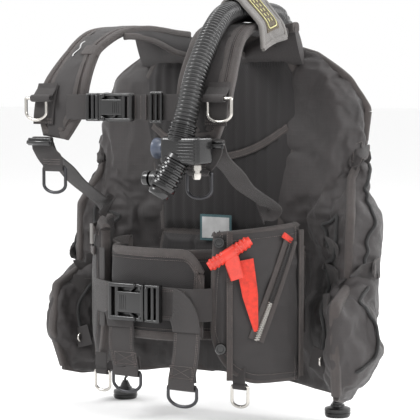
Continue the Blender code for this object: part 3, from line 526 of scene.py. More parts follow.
def round_box(low, high, radius, count=10):
    """A box with rounded edges: a sphere's grid whose eight parts are pushed out to the corners."""
    low, high = np.minimum(low, high).astype(float), np.maximum(low, high).astype(float)
    radius = min(radius, (high - low).min() * 0.499)
    polar = np.concatenate([np.linspace(0.02, pi / 2, count), np.linspace(pi / 2, pi - 0.02, count)])
    turn = np.concatenate([np.linspace(k * pi / 2, (k + 1) * pi / 2, count // 2 + 1) for k in range(4)])
    quarter = np.repeat(np.arange(4), count // 2 + 1)
    half = (high - low) / 2 - radius
    sign = np.stack([np.where((quarter == 0) | (quarter == 3), 1, -1), np.where(quarter < 2, 1, -1)], axis=1)
    ring = np.stack([np.cos(turn), np.sin(turn)], axis=1)
    rows = np.zeros((len(polar), len(turn), 3))
    rows[:, :, :2] = sign[None] * half[:2] + np.sin(polar)[:, None, None] * ring[None] * radius
    top = np.where(np.arange(len(polar)) < count, 1, -1)
    rows[:, :, 2] = (top * half[2] + np.cos(polar) * radius)[:, None]
    return shell(rows + (low + high) / 2, ring=True)


def turned(start, end, radii, stations=None, sides=40):
    """A lathed shape: radii at stations (shares of the way) from start to end."""
    start, end = np.asarray(start, float), np.asarray(end, float)
    radii = np.asarray(radii, float)
    stations = np.linspace(0, 1, len(radii)) if stations is None else np.asarray(stations, float)
    along = unit(end - start)
    side = unit(np.cross(along, steady(along[None])))
    other = np.cross(along, side)
    t = np.arange(sides) * 2 * pi / sides
    circle = np.cos(t)[:, None] * side + np.sin(t)[:, None] * other
    rows = start + (end - start) * stations[:, None, None] + circle[None] * radii[:, None, None]
    return shell(rows, ring=True)


THREAD_WIDTH, THREAD_RISE = 0.00035, 0.0003


def stitches(path, normal, pitch=None, lean=0.0):
    """A row of thread: one small six-sided box each stitch, laid along the path on the cloth."""
    path = np.asarray(path, float)
    pitch = pitch or sizes().stitch
    total = np.linalg.norm(np.diff(path, axis=0), axis=1).sum()
    count = max(int(total / pitch), 2)
    steps = distances(path)
    even = (np.arange(count) + 0.5) * total / count
    centre = between(even, steps, path)
    up = unit(between(even, steps, np.broadcast_to(normal, path.shape)))
    along = unit(between(even, steps, np.gradient(path, axis=0)))
    side = np.cross(up, along)
    along = unit(along + side * lean * np.where(np.arange(count) % 2, 1, -1)[:, None])
    side = np.cross(up, along)
    corner = np.array([(-1, -1, -1), (1, -1, -1), (1, 1, -1), (-1, 1, -1),
                       (-0.8, -0.7, 1), (0.8, -0.7, 1), (0.8, 0.7, 1), (-0.8, 0.7, 1)], float)
    local = corner * (pitch * 0.36, THREAD_WIDTH, THREAD_RISE)
    points = centre[:, None] + along[:, None] * local[None, :, :1] + side[:, None] * local[None, :, 1:2]
    points = points + up[:, None] * local[None, :, 2:]
    faces = np.array([(0, 3, 2, 1), (4, 5, 6, 7), (0, 1, 5, 4), (1, 2, 6, 5), (2, 3, 7, 6), (3, 0, 4, 7)])
    quads = (faces[None] + np.arange(count)[:, None, None] * 8).reshape(-1, 4)
    uv = np.tile(np.array([(0, 0), (0.002, 0), (0.002, 0.001), (0, 0.001)]), (len(quads), 1, 1))
    return points.reshape(-1, 3), quads, uv


def waves(points, seed, scale, count=5):
    """Soft random waves over points, about -1 to 1: a sum of sines whose directions are random."""
    rng = np.random.default_rng(seed)
    total = np.zeros(points.shape[:-1])
    for k in range(count):
        direction = unit(rng.normal(size=3)) * (2 * pi / scale) * rng.uniform(0.6, 1.6)
        total += np.sin(points @ direction + rng.uniform(0, 2 * pi)) / count
    return total * 1.6


def creases(points, seed, scale, along=(0, 0, 1), stretch=3.0):
    """Sharp-edged folds: ridges where warped waves cross zero, drawn out along one direction."""
    along = np.asarray(along, float)
    squeezed = points - (points @ along)[..., None] * along * (1 - 1 / stretch)
    drift = np.stack([waves(points, seed + k, scale * 2.5) for k in range(3)], axis=-1)
    return 1 - np.abs(waves(squeezed + 0.35 * scale * drift, seed + 9, scale)) * 2


# The frame's own curves, in the same words as the frame's pieces

def waist(angle, offset=0.0):
    """The waist oval: half widths waist_half and waist_depth, the angle from the front to the left."""
    s = sizes()
    return np.stack([(s.waist_half + offset) * np.sin(angle),
                     s.waist_y - (s.waist_depth + offset) * np.cos(angle)], axis=-1)


def waist_angle(x):
    return np.arcsin(x / sizes().waist_half)


def waist_normal(angle):
    s = sizes()
    return unit(np.stack([np.sin(angle) * s.waist_depth, -np.cos(angle) * s.waist_half,
                          np.zeros_like(angle)], axis=-1))


def strap_line(count, side=1):
    s = sizes()
    x, top, front = s.shoulder_x, s.shoulder_top, s.chest_y
    start = BOX["yoke_collar"][1][2] + s.strap_thick / 2
    return spline([(x - 0.026, -0.0387, start), (x - 0.021, 0.27 * front, top - 0.004),
                   (x - 0.017, 0.39 * front, top - 0.001), (x - 0.014, 0.52 * front, top),
                   (x - 0.009, 0.67 * front, top - 0.006), (x - 0.004, 0.78 * front, top - 0.021),
                   (x + 0.002, 0.86 * front, top - 0.042), (x + 0.007, 0.95 * front, top - 0.080),
                   (x + 0.010, front, top - 0.120), (x + 0.016, front - 0.005, top - 0.165)],
                  count) * (side, 1, 1)


def strap_frame(count, side=1):
    """Centre line of a padded strap, its width, the way across it and its outward normal."""
    line = strap_line(count, side)
    share = np.linspace(0, 1, count)
    wide = np.interp(share, [0, 0.3, 0.6, 0.75, 0.88, 1], [0.9, 0.95, 0.86, 0.97, 1, 0.48])
    turn = np.interp(share, [0, 0.3, 0.6, 0.82, 1], [0, 0.05, 0.30, 0.03, 0])
    across = unit(np.stack([np.ones(count), turn, np.zeros(count)], axis=1)) * (side, 1, 1)
    along = unit(np.gradient(line, axis=0))
    across = unit(across - along * np.sum(across * along, axis=1, keepdims=True))
    normal = np.cross(along, across) * side
    return line, sizes().strap_width * wide, across, normal


def strap_face(z, distance, side=1):
    """A point of the strap's centre line at a height on the chest, moved outwards."""
    line, _, _, normal = strap_frame(240, side)
    first = line[:, 2].argmax()
    k = first + np.abs(line[first:, 2] - z).argmin()
    return line[k] + normal[k] * distance


# Padded shoulder straps

def make_shoulders():
    s = sizes()
    for name, side in SIDES:
        line, width, across, normal = strap_frame(150, side)
        profile = superellipse(44, 3.0)
        crown = 1 - 0.28 * np.abs(profile[:, :1]) ** 3
        profile = profile * np.hstack([np.ones((44, 1)), crown])
        rows_wide, rows_thick = width / 2 - 0.003, s.strap_thick / 2
        rows = line[:, None] + across[:, None] * profile[None, :, :1] * rows_wide[:, None, None]
        rows += normal[:, None] * profile[None, :, 1:] * rows_thick
        rows += normal[:, None] * (creases(rows, 3, 0.05, (0, 0, 1), 2.0) * 0.0009)[..., None]
        pad = piece("shoulder_pad_" + name, [shell(rows, ring=True)], "ballistic",
                    stands_for=["shoulder_strap_" + name])
        edges, seams, ribs = [], [], []
        for edge in (-1, 1):
            rim = line + across * (edge * (width / 2 - 0.0045))[:, None] + normal * 0.0004
            edges.append(sweep(rim, s.binding / 2, 0.0056, across=across, power=3.4, sides=20))
            for inset in (0.0092, 0.0116):
                row = line + across * (edge * (width / 2 - inset))[:, None] + normal * (s.strap_thick * 0.47)
                seams.append(stitches(row[2:-2], normal[2:-2]))
            inner = line + across * (edge * (width / 2 - 0.0185))[:, None] + normal * (s.strap_thick * 0.455)
            ribs.append(sweep(inner[4:-4], 0.0045, 0.0007, across=across[4:-4], power=3.0, sides=10))
        end = np.stack([line[-1] + across[-1] * t for t in np.linspace(-width[-1] / 2, width[-1] / 2, 12)])
        edges.append(sweep(end + (0, 0, 0.004), s.binding / 2, 0.0056, across=UP, power=3.4, sides=20))
        if side < 0:
            k, t = 90, np.linspace(0.10, 0.56, 30)
            keeper = line[k] - across[k] * (t * width[k])[:, None]
            keeper += normal[k] * (s.strap_thick * 0.62 * (1 - (t / 0.56) ** 8) - 0.002)[:, None]
            edges.append(sweep(keeper, 0.0095, 0.0018, normal=normal[k], power=5, sides=16))
            badge = line[82:96] + across[82:96] * 0.008 + normal[82:96] * (s.strap_thick * 0.56)
            badge += across[82:96] * (0.003 * np.sin(np.linspace(0, 9, 14)))[:, None]
            piece("strap_badge", [sweep(badge, 0.0014, 0.0005, across=across[82:96], power=3, sides=10)],
                  "label")
        bound("strap_binding_" + name, edges)
        bound("strap_piping_" + name, ribs)
        sewn("strap_stitching_" + name, seams)


def make_shoulder_webs():
    """Webbing on the lower part of each padded strap: down over the D-ring's bar, and tucked under."""
    s = sizes()
    for name, side in SIDES:
        low, high = BOX["shoulder_web_" + name]
        x = (low[0] + high[0]) / 2
        z = np.linspace(high[2], low[2], 40)
        line = np.array([strap_face(v, s.strap_thick / 2 + 0.0006 + s.web / 2, side) for v in z])
        line[:, 0] = x
        half = (high[0] - low[0]) / 2
        ring = BOX["upper_d_ring_" + name]
        centre_y, bar_z = (ring[0][1] + ring[1][1]) / 2, ring[1][2] - WIRE
        t = np.linspace(-0.25 * pi, 1.25 * pi, 24)
        roll = columns(x, centre_y - 0.0044 * np.sin(t), bar_z + 0.0044 * np.cos(t))
        over = np.vstack([line[:6] + (0, -0.0008, 0.002), roll])
        webs = [sweep(line, half, s.web / 2, across=(1, 0, 0), power=6, sides=24),
                sweep(resample(over, 50), half * 0.97, s.web / 2, across=(1, 0, 0), power=6, sides=24)]
        piece("strap_webbing_" + name, webs, "webbing", stands_for=["shoulder_web_" + name])
        rows = []
        for k in (2, 4, 34, 37):
            for a in (-1, 1):
                row = line[k] + columns(np.linspace(-half, half, 8) * 0.9, 0.0, 0.0)
                rows.append(stitches(row + (0, -s.web / 2 - 0.0001, a * 0.0008), (0, -1, 0), lean=0.4))
        sewn("strap_webbing_stitches_" + name, rows)


# D-rings

def ring_path(node):
    """The wire of a D-ring from its node's box: a straight bar on top and a round lower end."""
    low, high = BOX[node]
    half, drop = (high[0] - low[0]) / 2 - WIRE, high[2] - low[2] - 2 * WIRE
    a = np.linspace(0, pi, 40)
    arc = np.stack([half * np.cos(a), -(drop - 0.6 * half) - 0.6 * half * np.sin(a)], axis=1)
    corner = np.linspace(0, pi / 2, 6)
    bend = 0.0014
    right = np.stack([half - bend + bend * np.cos(corner), -bend + bend * np.sin(corner)], axis=1)
    left = right[::-1] * (-1, 1)
    shape = np.vstack([right, left, arc[::-1]])
    shape = np.vstack([shape, shape[:1]])
    flat = resample(shape, 121)[:-1]
    x, y, _ = middle(node)
    return columns(x + flat[:, 0], y, high[2] - WIRE + flat[:, 1])


def make_rings():
    for kind, metal in (("upper", "steel"), ("lower", "dark_metal"), ("pocket", "steel"),
                        ("tail", "dark_metal")):
        for name, _ in SIDES:
            node = f"{kind}_d_ring_{name}"
            wire = sweep(ring_path(node), WIRE, WIRE, across=(0, 1, 0), sides=14, loop=True)
            piece(node + "_wire", [wire], metal, node + "_body", [node])


# Plastic buckles

def bars(boxes, radius):
    return [round_box(low, high, radius) for low, high in boxes]


def make_ladder_locks():
    """A low moulded frame of two rails and three bars with a round lip; half_y sets its height."""
    for name, _ in SIDES:
        low, high = BOX["ladder_lock_" + name]
        x, _, z = (low + high) / 2
        wide, half_y, _ = (high - low) / 2
        parts = []
        for rail in (-1, 1):
            parts.append(((x + rail * wide, low[1] - 0.001, z - half_y * 0.95),
                          (x + rail * (wide - 0.0055), high[1], z + half_y * 0.95)))
        for bar, thick in ((0.86, 0.0034), (0.0, 0.0032), (-0.80, 0.0048)):
            parts.append(((x - wide + 0.002, low[1] - 0.0005, z + bar * half_y - thick),
                          (x + wide - 0.002, high[1], z + bar * half_y + thick)))
        lip = columns(x + np.linspace(-wide + 0.003, wide - 0.003, 24),
                      low[1] - 0.001 - 0.004 * np.sin(np.linspace(0, pi, 24)), z - half_y * 0.92)
        shells = bars(parts, 0.0017) + [sweep(lip, 0.0030, 0.0026, across=UP, power=2.6)]
        for k in range(5):
            at = x + (k - 2) * 0.006
            shells.append(round_box((at - 0.0011, low[1] - 0.0022, z - half_y * 0.72),
                                    (at + 0.0011, low[1], z - half_y * 0.25), 0.001, 6))
        piece("ladder_frame_" + name, shells, "gloss", stands_for=["ladder_lock_" + name])


def side_release(node, s):
    """The two halves of a squeeze buckle: a frame with a window over its prongs, and a tongue half whose
    outer bars take the webbing. s is 1 or -1, the way from the frame to the tongue."""
    low, high = BOX[node + "_female"]
    y0, y1 = low[1], high[1]
    z, tall, deep = (low[2] + high[2]) / 2, (high[2] - low[2]) / 2, y1 - y0
    far, mouth = (low[0], high[0]) if s > 0 else (high[0], low[0])

    def block(x_from, x_to, front, rear, below, above, radius, count=10):
        return round_box((x_from, front, z + below * tall), (x_to, rear, z + above * tall), radius, count)

    shells = []
    for edge in (-1, 1):
        shells.append(block(far, mouth - s * 0.016, y0 + 0.0006, y1, edge, edge * 0.74, 0.003))
        shells.append(block(mouth - s * 0.010, mouth, y0, y1, edge * 0.98, edge * 0.62, 0.003))
    shells.append(block(mouth - s * 0.006, mouth, y0, y0 + deep * 0.30, -0.9, 0.9, 0.0018))
    shells.append(block(far + s * 0.016, mouth - s * 0.003, y0 + 0.0002, y0 + deep * 0.34, -0.56, 0.56,
                        0.0022))
    shells.append(block(far + s * 0.014, mouth - s * 0.001, y1 - deep * 0.3, y1, -0.9, 0.9, 0.0022))
    for at in (far + s * 0.0025, far + s * 0.0150):
        shells.append(block(at - 0.0025, at + 0.0032, y0 + 0.001, y1 - 0.001, -0.95, 0.95, 0.0022))
    for k in range(4):
        at = far + s * (0.022 + k * 0.0035)
        shells.append(block(at, at + s * 0.0016, y0 - 0.0005, y0 + 0.001, -0.40, 0.40, 0.0006, 6))
    piece(node + "_frame", shells, "plastic", stands_for=[node + "_female"])
    low, high = BOX[node + "_male"]
    far, tip = (high[0], low[0]) if s > 0 else (low[0], high[0])
    shells = [block(mouth + s * 0.0012, mouth + s * 0.0075, y0 + 0.0008, y1 - 0.0008, -0.86, 0.86, 0.0024)]
    for at in (far - s * 0.0030, far - s * 0.0125):
        shells.append(block(at - 0.0028, at + 0.0028, y0 + 0.0012, y1 - 0.001, -0.93, 0.93, 0.0023))
    y = (y0 + y1) / 2
    bulge = 0.50 + 0.40 * np.sin(np.linspace(0, 1.0, 20) * pi) ** 0.8
    for edge in (-1, 1):
        shells.append(block(far, mouth + s * 0.001, y0 + 0.0014, y1 - 0.001, edge * 0.99, edge * 0.82,
                            0.0024))
        arm = columns(np.linspace(mouth + s * 0.004, tip, 20), y, z + edge * tall * bulge)
        shells.append(sweep(arm, deep * 0.22, 0.0028, across=(0, 1, 0), power=3, sides=12))
    shells.append(round_box((mouth, y - 0.0015, z - 0.004), (tip, y + 0.0015, z + 0.004), 0.0012))
    body = "waist_tongue" if node.startswith("waist") else "chest_tongue"
    piece(node + "_tongue", shells, "plastic", body, [node + "_male"])


def make_buckles():
    side_release("waist_buckle", 1)
    side_release("chest_buckle", -1)
    low, high = BOX["chest_triglide"]
    z0, z1 = low[2], high[2]
    parts = [(low, (high[0], high[1], z0 + 0.004)), ((low[0], low[1], z1 - 0.004), high)]
    for share in (0.0, 0.41, 0.82):
        at = low[0] + share * (high[0] - low[0])
        parts.append(((at, low[1] - 0.0006, z0 + 0.001), (at + 0.0042, high[1], z1 - 0.001)))
    piece("triglide_frame", bars(parts, 0.0017), "gloss", stands_for=["chest_triglide"])


# Webbing

def flat_web(path, width, across):
    return sweep(path, width / 2, sizes().web / 2, across=across, power=7, sides=26)


def cross_box(corner, right, down):
    """Reinforcing stitches on a web's front: a box with its two diagonals."""
    corner, right, down = (np.asarray(v, float) for v in (corner, right, down))
    a, b, c, d = corner, corner + right, corner + right + down, corner + down
    return [stitches(start + (end - start) * np.linspace(0, 1, 6)[:, None], (0, -1, 0), pitch=0.0028)
            for start, end in ((a, b), (b, c), (c, d), (d, a), (a, c), (b, d))]


def make_chest_strap():
    s = sizes()
    webs, rows = [], []
    folds = (0.012, 0.040)
    for name in ("left", "right"):
        low, high = BOX["chest_strap_" + name]
        y, z, tall = (low[1] + high[1]) / 2, (low[2] + high[2]) / 2, high[2] - low[2]
        x = np.linspace(low[0], high[0], 40)
        webs.append(flat_web(columns(x, y + 0.0006 * np.sin(x * 90), z), tall, (0, 0, 1)))
        if name == "right":
            continue
        layer = columns(np.linspace(*folds, 16), y - s.web - 0.0003, z)
        webs.append(flat_web(layer, tall * 0.97, (0, 0, 1)))
        for at in np.linspace(*folds, 4):
            row = columns(at, y - 1.5 * s.web - 0.0005, z + np.linspace(-0.45, 0.45, 12) * tall)
            rows.append(stitches(row, (0, -1, 0), pitch=0.0022, lean=0.8))
    piece("chest_webbing", webs, "webbing", stands_for=["chest_strap_left", "chest_strap_right"])
    sewn("chest_stitching", rows)


def lower_strap(side):
    """From the side of the waist up to the ladder lock, over its bar and down to the lower D-ring."""
    name = "left" if side > 0 else "right"
    x, _, z = np.abs(middle("ladder_lock_" + name))
    ring_x, ring_y, _ = middle("lower_d_ring_" + name) * (side, 1, 1)
    ring_z = BOX["lower_d_ring_" + name][1][2]
    face = sizes().chest_y - 0.011
    back, front = face - 0.001, face - 0.007
    end = waist(waist_angle(sizes().waist_half - 0.033), -0.026)
    run = [(end[0], end[1], 0.004), (x + 0.005, -0.1477, 0.016), (x, -0.2116, 0.047), (x, -0.2442, 0.071),
           (x, face + 0.012, 0.094), (x, back, z)]
    fold = [(x, (back + front) / 2 + 0.003 * cos(t), z + 0.003 + 0.003 * sin(t)) for t in np.linspace(0,
                                                                                                      pi, 7)]
    tail = [(x, front, z - 0.006), (x - 0.008, front + 0.001, z - 0.018),
            (ring_x + 0.003, front + 0.002, ring_z + 0.008)]
    t = np.linspace(-0.1 * pi, 1.35 * pi, 12)
    hem = [(ring_x, ring_y - 0.0040 * cos(v), ring_z - WIRE - 0.0040 * sin(v)) for v in t]
    return resample(np.vstack([spline(run, 60), fold, spline(tail, 20), hem]), 170) * (side, 1, 1)


def make_lower_straps():
    for name, side in SIDES:
        web = flat_web(lower_strap(side), 0.0365, (1, 0, 0))
        piece("lower_webbing_" + name, [web], "webbing", stands_for=["lower_strap_" + name])
        low, high = BOX["lower_d_ring_" + name]
        x = (low[0] + high[0]) / 2 + np.linspace(-0.016, 0.016, 10)
        rows = [columns(x, low[1] - 0.0052, high[2] + 0.011 - k * 0.0035) for k in range(3)]
        rows = [stitches(row, (0, -1, 0), pitch=0.002, lean=0.7) for row in rows]
        sewn("lower_webbing_stitches_" + name, rows)


def make_waist_webbing():
    s = sizes()
    low, high = BOX["waist_strap_left"]
    z, tall = (low[2] + high[2]) / 2, high[2] - low[2]
    y = low[1] + s.web / 2
    left_end, right_end = (waist_angle(front) - 0.02 for front in POCKET_FRONTS)
    left = spline([(0.012, y, z), (0.045, y, z), (0.074, y, z), (0.084, y + 0.004, z),
                   (*waist(left_end, s.web), z)], 70)
    turns = columns(*waist(np.linspace(radians(24), right_end, 5), s.web).T, z) * (-1, 1, 1)
    right = spline(np.vstack([[(-0.045, y, z), (-0.062, y, z)], turns]), 90)
    webs = [flat_web(left, tall, (0, 0, 1)), flat_web(right, tall, (0, 0, 1))]
    folds = []
    for start, end in ((0.050, 0.074), (-0.066, -0.047)):
        turn = np.linspace(0, pi / 2, 30)
        fold = columns(start + (end - start) * np.sin(turn), y - 0.0040 - 0.0012 * np.sin(turn * 2),
                       z - 0.040 * (1 - np.cos(turn)))
        folds.append(flat_web(fold, 0.049, columns(np.sin(turn), 0.0, np.cos(turn))))
    sewn("waist_webbing_stitches", [stitches(line[4:-4] + (0, -0.0014, edge), (0, -1, 0))
                                    for line in (left[:45], right[:60])
                                    for edge in (-0.0215, -0.0190, 0.0190, 0.0215)])
    piece("waist_webbing", webs, "webbing", stands_for=["waist_strap_left", "waist_strap_right"])
    piece("waist_fold_left", folds[:1], "webbing", "waist_tongue")
    piece("waist_fold_right", folds[1:], "webbing")
    for name, body, start_x in (("left", "waist_tongue", 0.074), ("right", "vest", -0.047)):
        make_tail(name, body, start_x)


def make_tail(name, body, start_x):
    """A hanging end of the waist webbing, hemmed round its D-ring."""
    low, high = BOX["waist_tail_" + name]
    x, y, _ = middle("tail_d_ring_" + name)
    ring_z = BOX["tail_d_ring_" + name][1][2] - WIRE
    down = spline([(start_x, y + 0.002, high[2]), (start_x * 0.98, y - 0.001, (high[2] + low[2]) / 2),
                   (x, y - 0.003, low[2] + 0.006)], 50)
    t = np.linspace(0, 1.4 * pi, 20)
    hem = columns(x, y - 0.0042 * np.cos(t), ring_z - 0.0042 * np.sin(t))
    back = spline([(x, y + 0.003, low[2] + 0.004), (x, y + 0.001, low[2] + 0.022)], 8)
    path = resample(np.vstack([down, hem]), 100)
    piece("tail_webbing_" + name, [flat_web(line, 0.0465, (1, 0, 0)) for line in (path, back)],
          "webbing", body, ["waist_tail_" + name])
    rows = cross_box((x - 0.020, y - 0.0047, low[2] + 0.028), (0.040, 0, 0), (0.001, 0, -0.018))
    rows += [stitches(down + (edge, -0.0014, 0), (0, -1, 0)) for edge in (-0.0205, -0.0180, 0.0180, 0.0205)]
    sewn("tail_stitches_" + name, rows, body)


# Wing

# Each level holds its height as a share of the wing's top or bottom, then for three columns, from the side
# of the plate to the outer seam, how far out it lies from the waist oval's side, its y and half thickness.
LEVELS = np.array([
    (-1.00, 0.032, -0.034, 0.024, 0.054, -0.082, 0.022, 0.064, -0.122, 0.006),
    (-0.76, 0.050, -0.030, 0.043, 0.064, -0.086, 0.037, 0.072, -0.142, 0.008),
    (-0.49, 0.046, -0.032, 0.042, 0.060, -0.084, 0.035, 0.068, -0.136, 0.008),
    (-0.40, 0.043, -0.030, 0.040, 0.055, -0.060, 0.030, 0.061, -0.080, 0.006),
    (0.00, 0.040, -0.024, 0.036, 0.054, -0.052, 0.027, 0.062, -0.074, 0.005),
    (0.20, 0.034, -0.018, 0.028, 0.042, -0.030, 0.018, 0.045, -0.040, 0.005),
    (0.42, 0.030, -0.014, 0.024, 0.038, -0.006, 0.015, 0.045, 0.002, 0.005),
    (0.62, 0.028, -0.012, 0.020, 0.044, -0.005, 0.014, 0.053, 0.000, 0.005),
    (1.00, 0.006, -0.014, 0.008, 0.014, -0.012, 0.007, 0.022, -0.010, 0.005),
])
TOPS = (1.0, 1.0, 0.94, 0.82, 0.72, 0.60)  # of six columns, as shares of the whole
BOTTOMS = (1.0, 1.0, 1.04, 1.06, 1.05, 1.01)
WING_TOP, WING_BOTTOM, WING_MID = 0.265, -0.268, -0.0164


def wing_grid(u, v):
    """Centre, outward side and half thickness of the wing on a grid. u runs from the middle (0) to the
    seam (1) and its sign is the side; v from the bottom (0) to the top (1). Stations across are joined
    by Catmull-Rom spans and levels by straight lines."""
    side, column = np.where(u < 0, -1.0, 1.0), np.abs(u) * 5
    tops = np.interp(column, range(6), TOPS) * WING_TOP
    bottoms = np.interp(column, range(6), BOTTOMS) * WING_BOTTOM
    z = bottoms + (tops - bottoms) * v
    heights = np.where(LEVELS[:, 0] > 0, WING_TOP, -WING_BOTTOM) * LEVELS[:, 0]
    half_waist = sizes().waist_half
    stations = [(k * 0.100 + 0 * z, WING_MID + 0 * z, 0.010 + 0 * z) for k in (-1, 0, 1)]
    stations.append((half_waist - 0.032 + 0 * z, WING_MID + 0.004 + 0 * z, 0.017 + 0 * z))
    for k in range(3):
        out, y, half = (np.interp(z, heights, LEVELS[:, 1 + 3 * k + i]) for i in range(3))
        stations.append((half_waist + out, y, half))
    stations = np.array(stations)
    stations = np.concatenate([stations, [2 * stations[-1] - stations[-2]]])
    k = np.minimum(column.astype(int), 4)
    f = column - k
    a, b, c, d = (np.take_along_axis(stations, (k + i)[None, None], axis=0)[0] for i in range(4))
    x, y, half = catmull_rom(a, b, c, d, f)
    slope = 0.5 * ((c - a) + 2 * (2 * a - 5 * b + 4 * c - d) * f + 3 * (3 * b - a - 3 * c + d) * f**2)
    tangent = unit(np.stack([slope[0], slope[1]], axis=-1))
    return columns(side * x, y, z), columns(side * tangent[..., 1], -tangent[..., 0], 0.0), half


def wing_faces(u, v):
    centre, out, half = wing_grid(u, v)
    half = half * np.minimum(1, 0.30 + 0.70 * np.sqrt(np.clip(7 * np.minimum(v, 1 - v), 0, 1)))
    return centre + out * half[..., None], centre - out * half[..., None]


def smooth_rows(rows, passes):
    """Averages each inner row with its neighbours, so that levels join without a ridge."""
    for _ in range(passes):
        rows[1:-1] = 0.25 * rows[:-2] + 0.5 * rows[1:-1] + 0.25 * rows[2:]
    return rows


def wing_skin():
    u = np.concatenate([-np.linspace(1, 0, 60)[:-1], np.linspace(0, 1, 60)])
    v = (1 - np.cos(np.linspace(0, pi, 110))) / 2
    u, v = np.meshgrid(u, v)
    front, back = wing_faces(u, v)
    return smooth_rows(front, 6), smooth_rows(back, 6)


def inflate(made, pressure, frames, cap, held, grow):
    """Cloth with air inside: the cloth is a little too big, so it creases, and held points stay put."""
    group = made.vertex_groups.new(name="held")
    group.add(np.nonzero(held)[0].tolist(), 1.0, "REPLACE")
    start = np.empty(len(made.data.vertices) * 3)
    made.data.vertices.foreach_get("co", start)
    cloth = made.modifiers.new("Air", "CLOTH")
    cloth.settings.use_pressure = True
    cloth.settings.uniform_pressure_force = pressure
    cloth.settings.vertex_group_mass = "held"
    cloth.settings.shrink_min = -grow
    cloth.settings.quality = 5
    cloth.settings.tension_stiffness = cloth.settings.compression_stiffness = 25
    cloth.settings.bending_stiffness = 0.3
    cloth.settings.effector_weights.gravity = 0.0
    cloth.collision_settings.use_collision = False
    cloth.point_cache.frame_end = frames + 2
    for step in range(1, frames + 1):
        bpy.context.scene.frame_set(step)
    graph = bpy.context.evaluated_depsgraph_get()
    after = np.empty_like(start)
    made.evaluated_get(graph).data.vertices.foreach_get("co", after)
    made.modifiers.remove(cloth)
    bpy.context.scene.frame_set(1)
    shift = (after - start).reshape(-1, 3)
    size = np.linalg.norm(shift, axis=1, keepdims=True)
    shift *= np.minimum(1, cap / np.maximum(size, 1e-9))
    made.data.vertices.foreach_set("co", (start.reshape(-1, 3) + shift).ravel())
    made.data.update()


def make_wing():
    front, back = wing_skin()
    made = piece("wing_cloth", [skin(front, back)], "nylon", stands_for=["bladder"])
    remesh = made.modifiers.new("Even cloth", "REMESH")
    remesh.mode = "VOXEL"
    remesh.voxel_size = 0.0062
    bpy.context.view_layer.update()
    even = bpy.data.meshes.new_from_object(made.evaluated_get(bpy.context.evaluated_depsgraph_get()))
    made.modifiers.remove(remesh)
    made.data = even
    if not even.materials:
        even.materials.append(FINISHES["nylon"])
    points = np.empty(len(even.vertices) * 3)
    even.vertices.foreach_get("co", points)
    points = points.reshape(-1, 3)
    inflate(made, 4.0, 24, 0.014, wing_held(points), 0.09)
    even.vertices.foreach_get("co", shape := np.empty(len(even.vertices) * 3))
    shape = shape.reshape(-1, 3)
    normals = np.empty(len(even.vertices) * 3)
    even.vertices.foreach_get("normal", normals)
    fold = creases(shape, 21, 0.085, (0, 0, 1), 2.6) * 0.0022 + creases(shape, 5, 0.034, (0.4, 0, 0.9),
                                                                        2.6) * 0.0010
    even.vertices.foreach_set("co", (shape + normals.reshape(-1, 3) * fold[:, None]).ravel())
    unwrap(even)
    even.shade_smooth()
    refine = made.modifiers.new("Smooth cloth", "SUBSURF")
    refine.levels = refine.render_levels = 1
    bpy.context.view_layer.update()
    WING_CLOTH.append(BVHTree.FromObject(made, bpy.context.evaluated_depsgraph_get()))


def unwrap(data):
    """UVs in metres: the way round the vest from its middle, and the height."""
    points = np.empty(len(data.vertices) * 3)
    data.vertices.foreach_get("co", points)
    x, y, z = points.reshape(-1, 3).T
    around = np.where(y < -0.02, np.abs(x) * np.sign(x) - y * np.sign(x), x)
    index = np.empty(len(data.loops), dtype=np.int32)
    data.loops.foreach_get("vertex_index", index)
    layer = data.uv_layers.new(name="UVMap") if not data.uv_layers else data.uv_layers[0]
    layer.data.foreach_set("uv", np.stack([around[index], z[index]], axis=1).ravel())


def wing_held(points):
    """Where the wing's cloth is sewn down: along its plate, its seams and under its tabs."""
    x, z = np.abs(points[:, 0]), points[:, 2]
    held = (x < 0.085) | (z > 0.235) | (z < -0.262)
    laced = spline([(*point, 0.0) for point in BUNGEE], 120)
    laced = on_wing(laced[:, 0], laced[:, 1])[0]
    for path, reach in [(seam_line(0.985, 60), 0.011),
                        (laced, 0.006)] + [(line, 0.013) for line in tab_lines()]:
        gap = np.min(np.linalg.norm(np.stack([x, points[:, 1], z], axis=1)[:, None] - path[None, ::2],
                                    axis=2), axis=1)
        held |= gap < reach
    return held


WING_CLOTH = []


def on_wing(u, v, lift=0.0, rear=False):
    """Points of the wing's front or rear face at shares u and v, lifted off it, and its normal there. Once
    the cloth is made, each point is where a line along the normal meets it."""
    u, v = np.asarray(u, float), np.asarray(v, float)
    front, back = wing_faces(u, v)[::-1] if rear else wing_faces(u, v)
    out = unit(front - back)
    for tree in WING_CLOTH:
        hits = [tree.ray_cast(point, direction) for point, direction in zip(front + out * 0.06, -out)]
        met = np.array([front[k] if hit[0] is None else hit[0] for k, hit in enumerate(hits)])
        front = front + out * np.sum((met - front) * out, axis=1, keepdims=True)
    return front + out * lift, out


def seam_line(u, count):
    v = np.linspace(0.03, 0.99, count)
    return wing_grid(np.full(count, u), v)[0]


TAB_ROUTES = (  # each runs from one (u, v) to another over the wing's front, on the wearer's left
    ((0.70, 0.76), (0.86, 0.80), (0.97, 0.83)),
    ((0.66, 0.50), (0.80, 0.49), (0.93, 0.49)),
    ((0.60, 0.30), (0.74, 0.31), (0.92, 0.33)),
)


def tab_lines():
    found = []
    for route in TAB_ROUTES:
        uv = spline([(*point, 0.0) for point in route], 30)
        found.append(on_wing(uv[:, 0], uv[:, 1])[0])
    return found


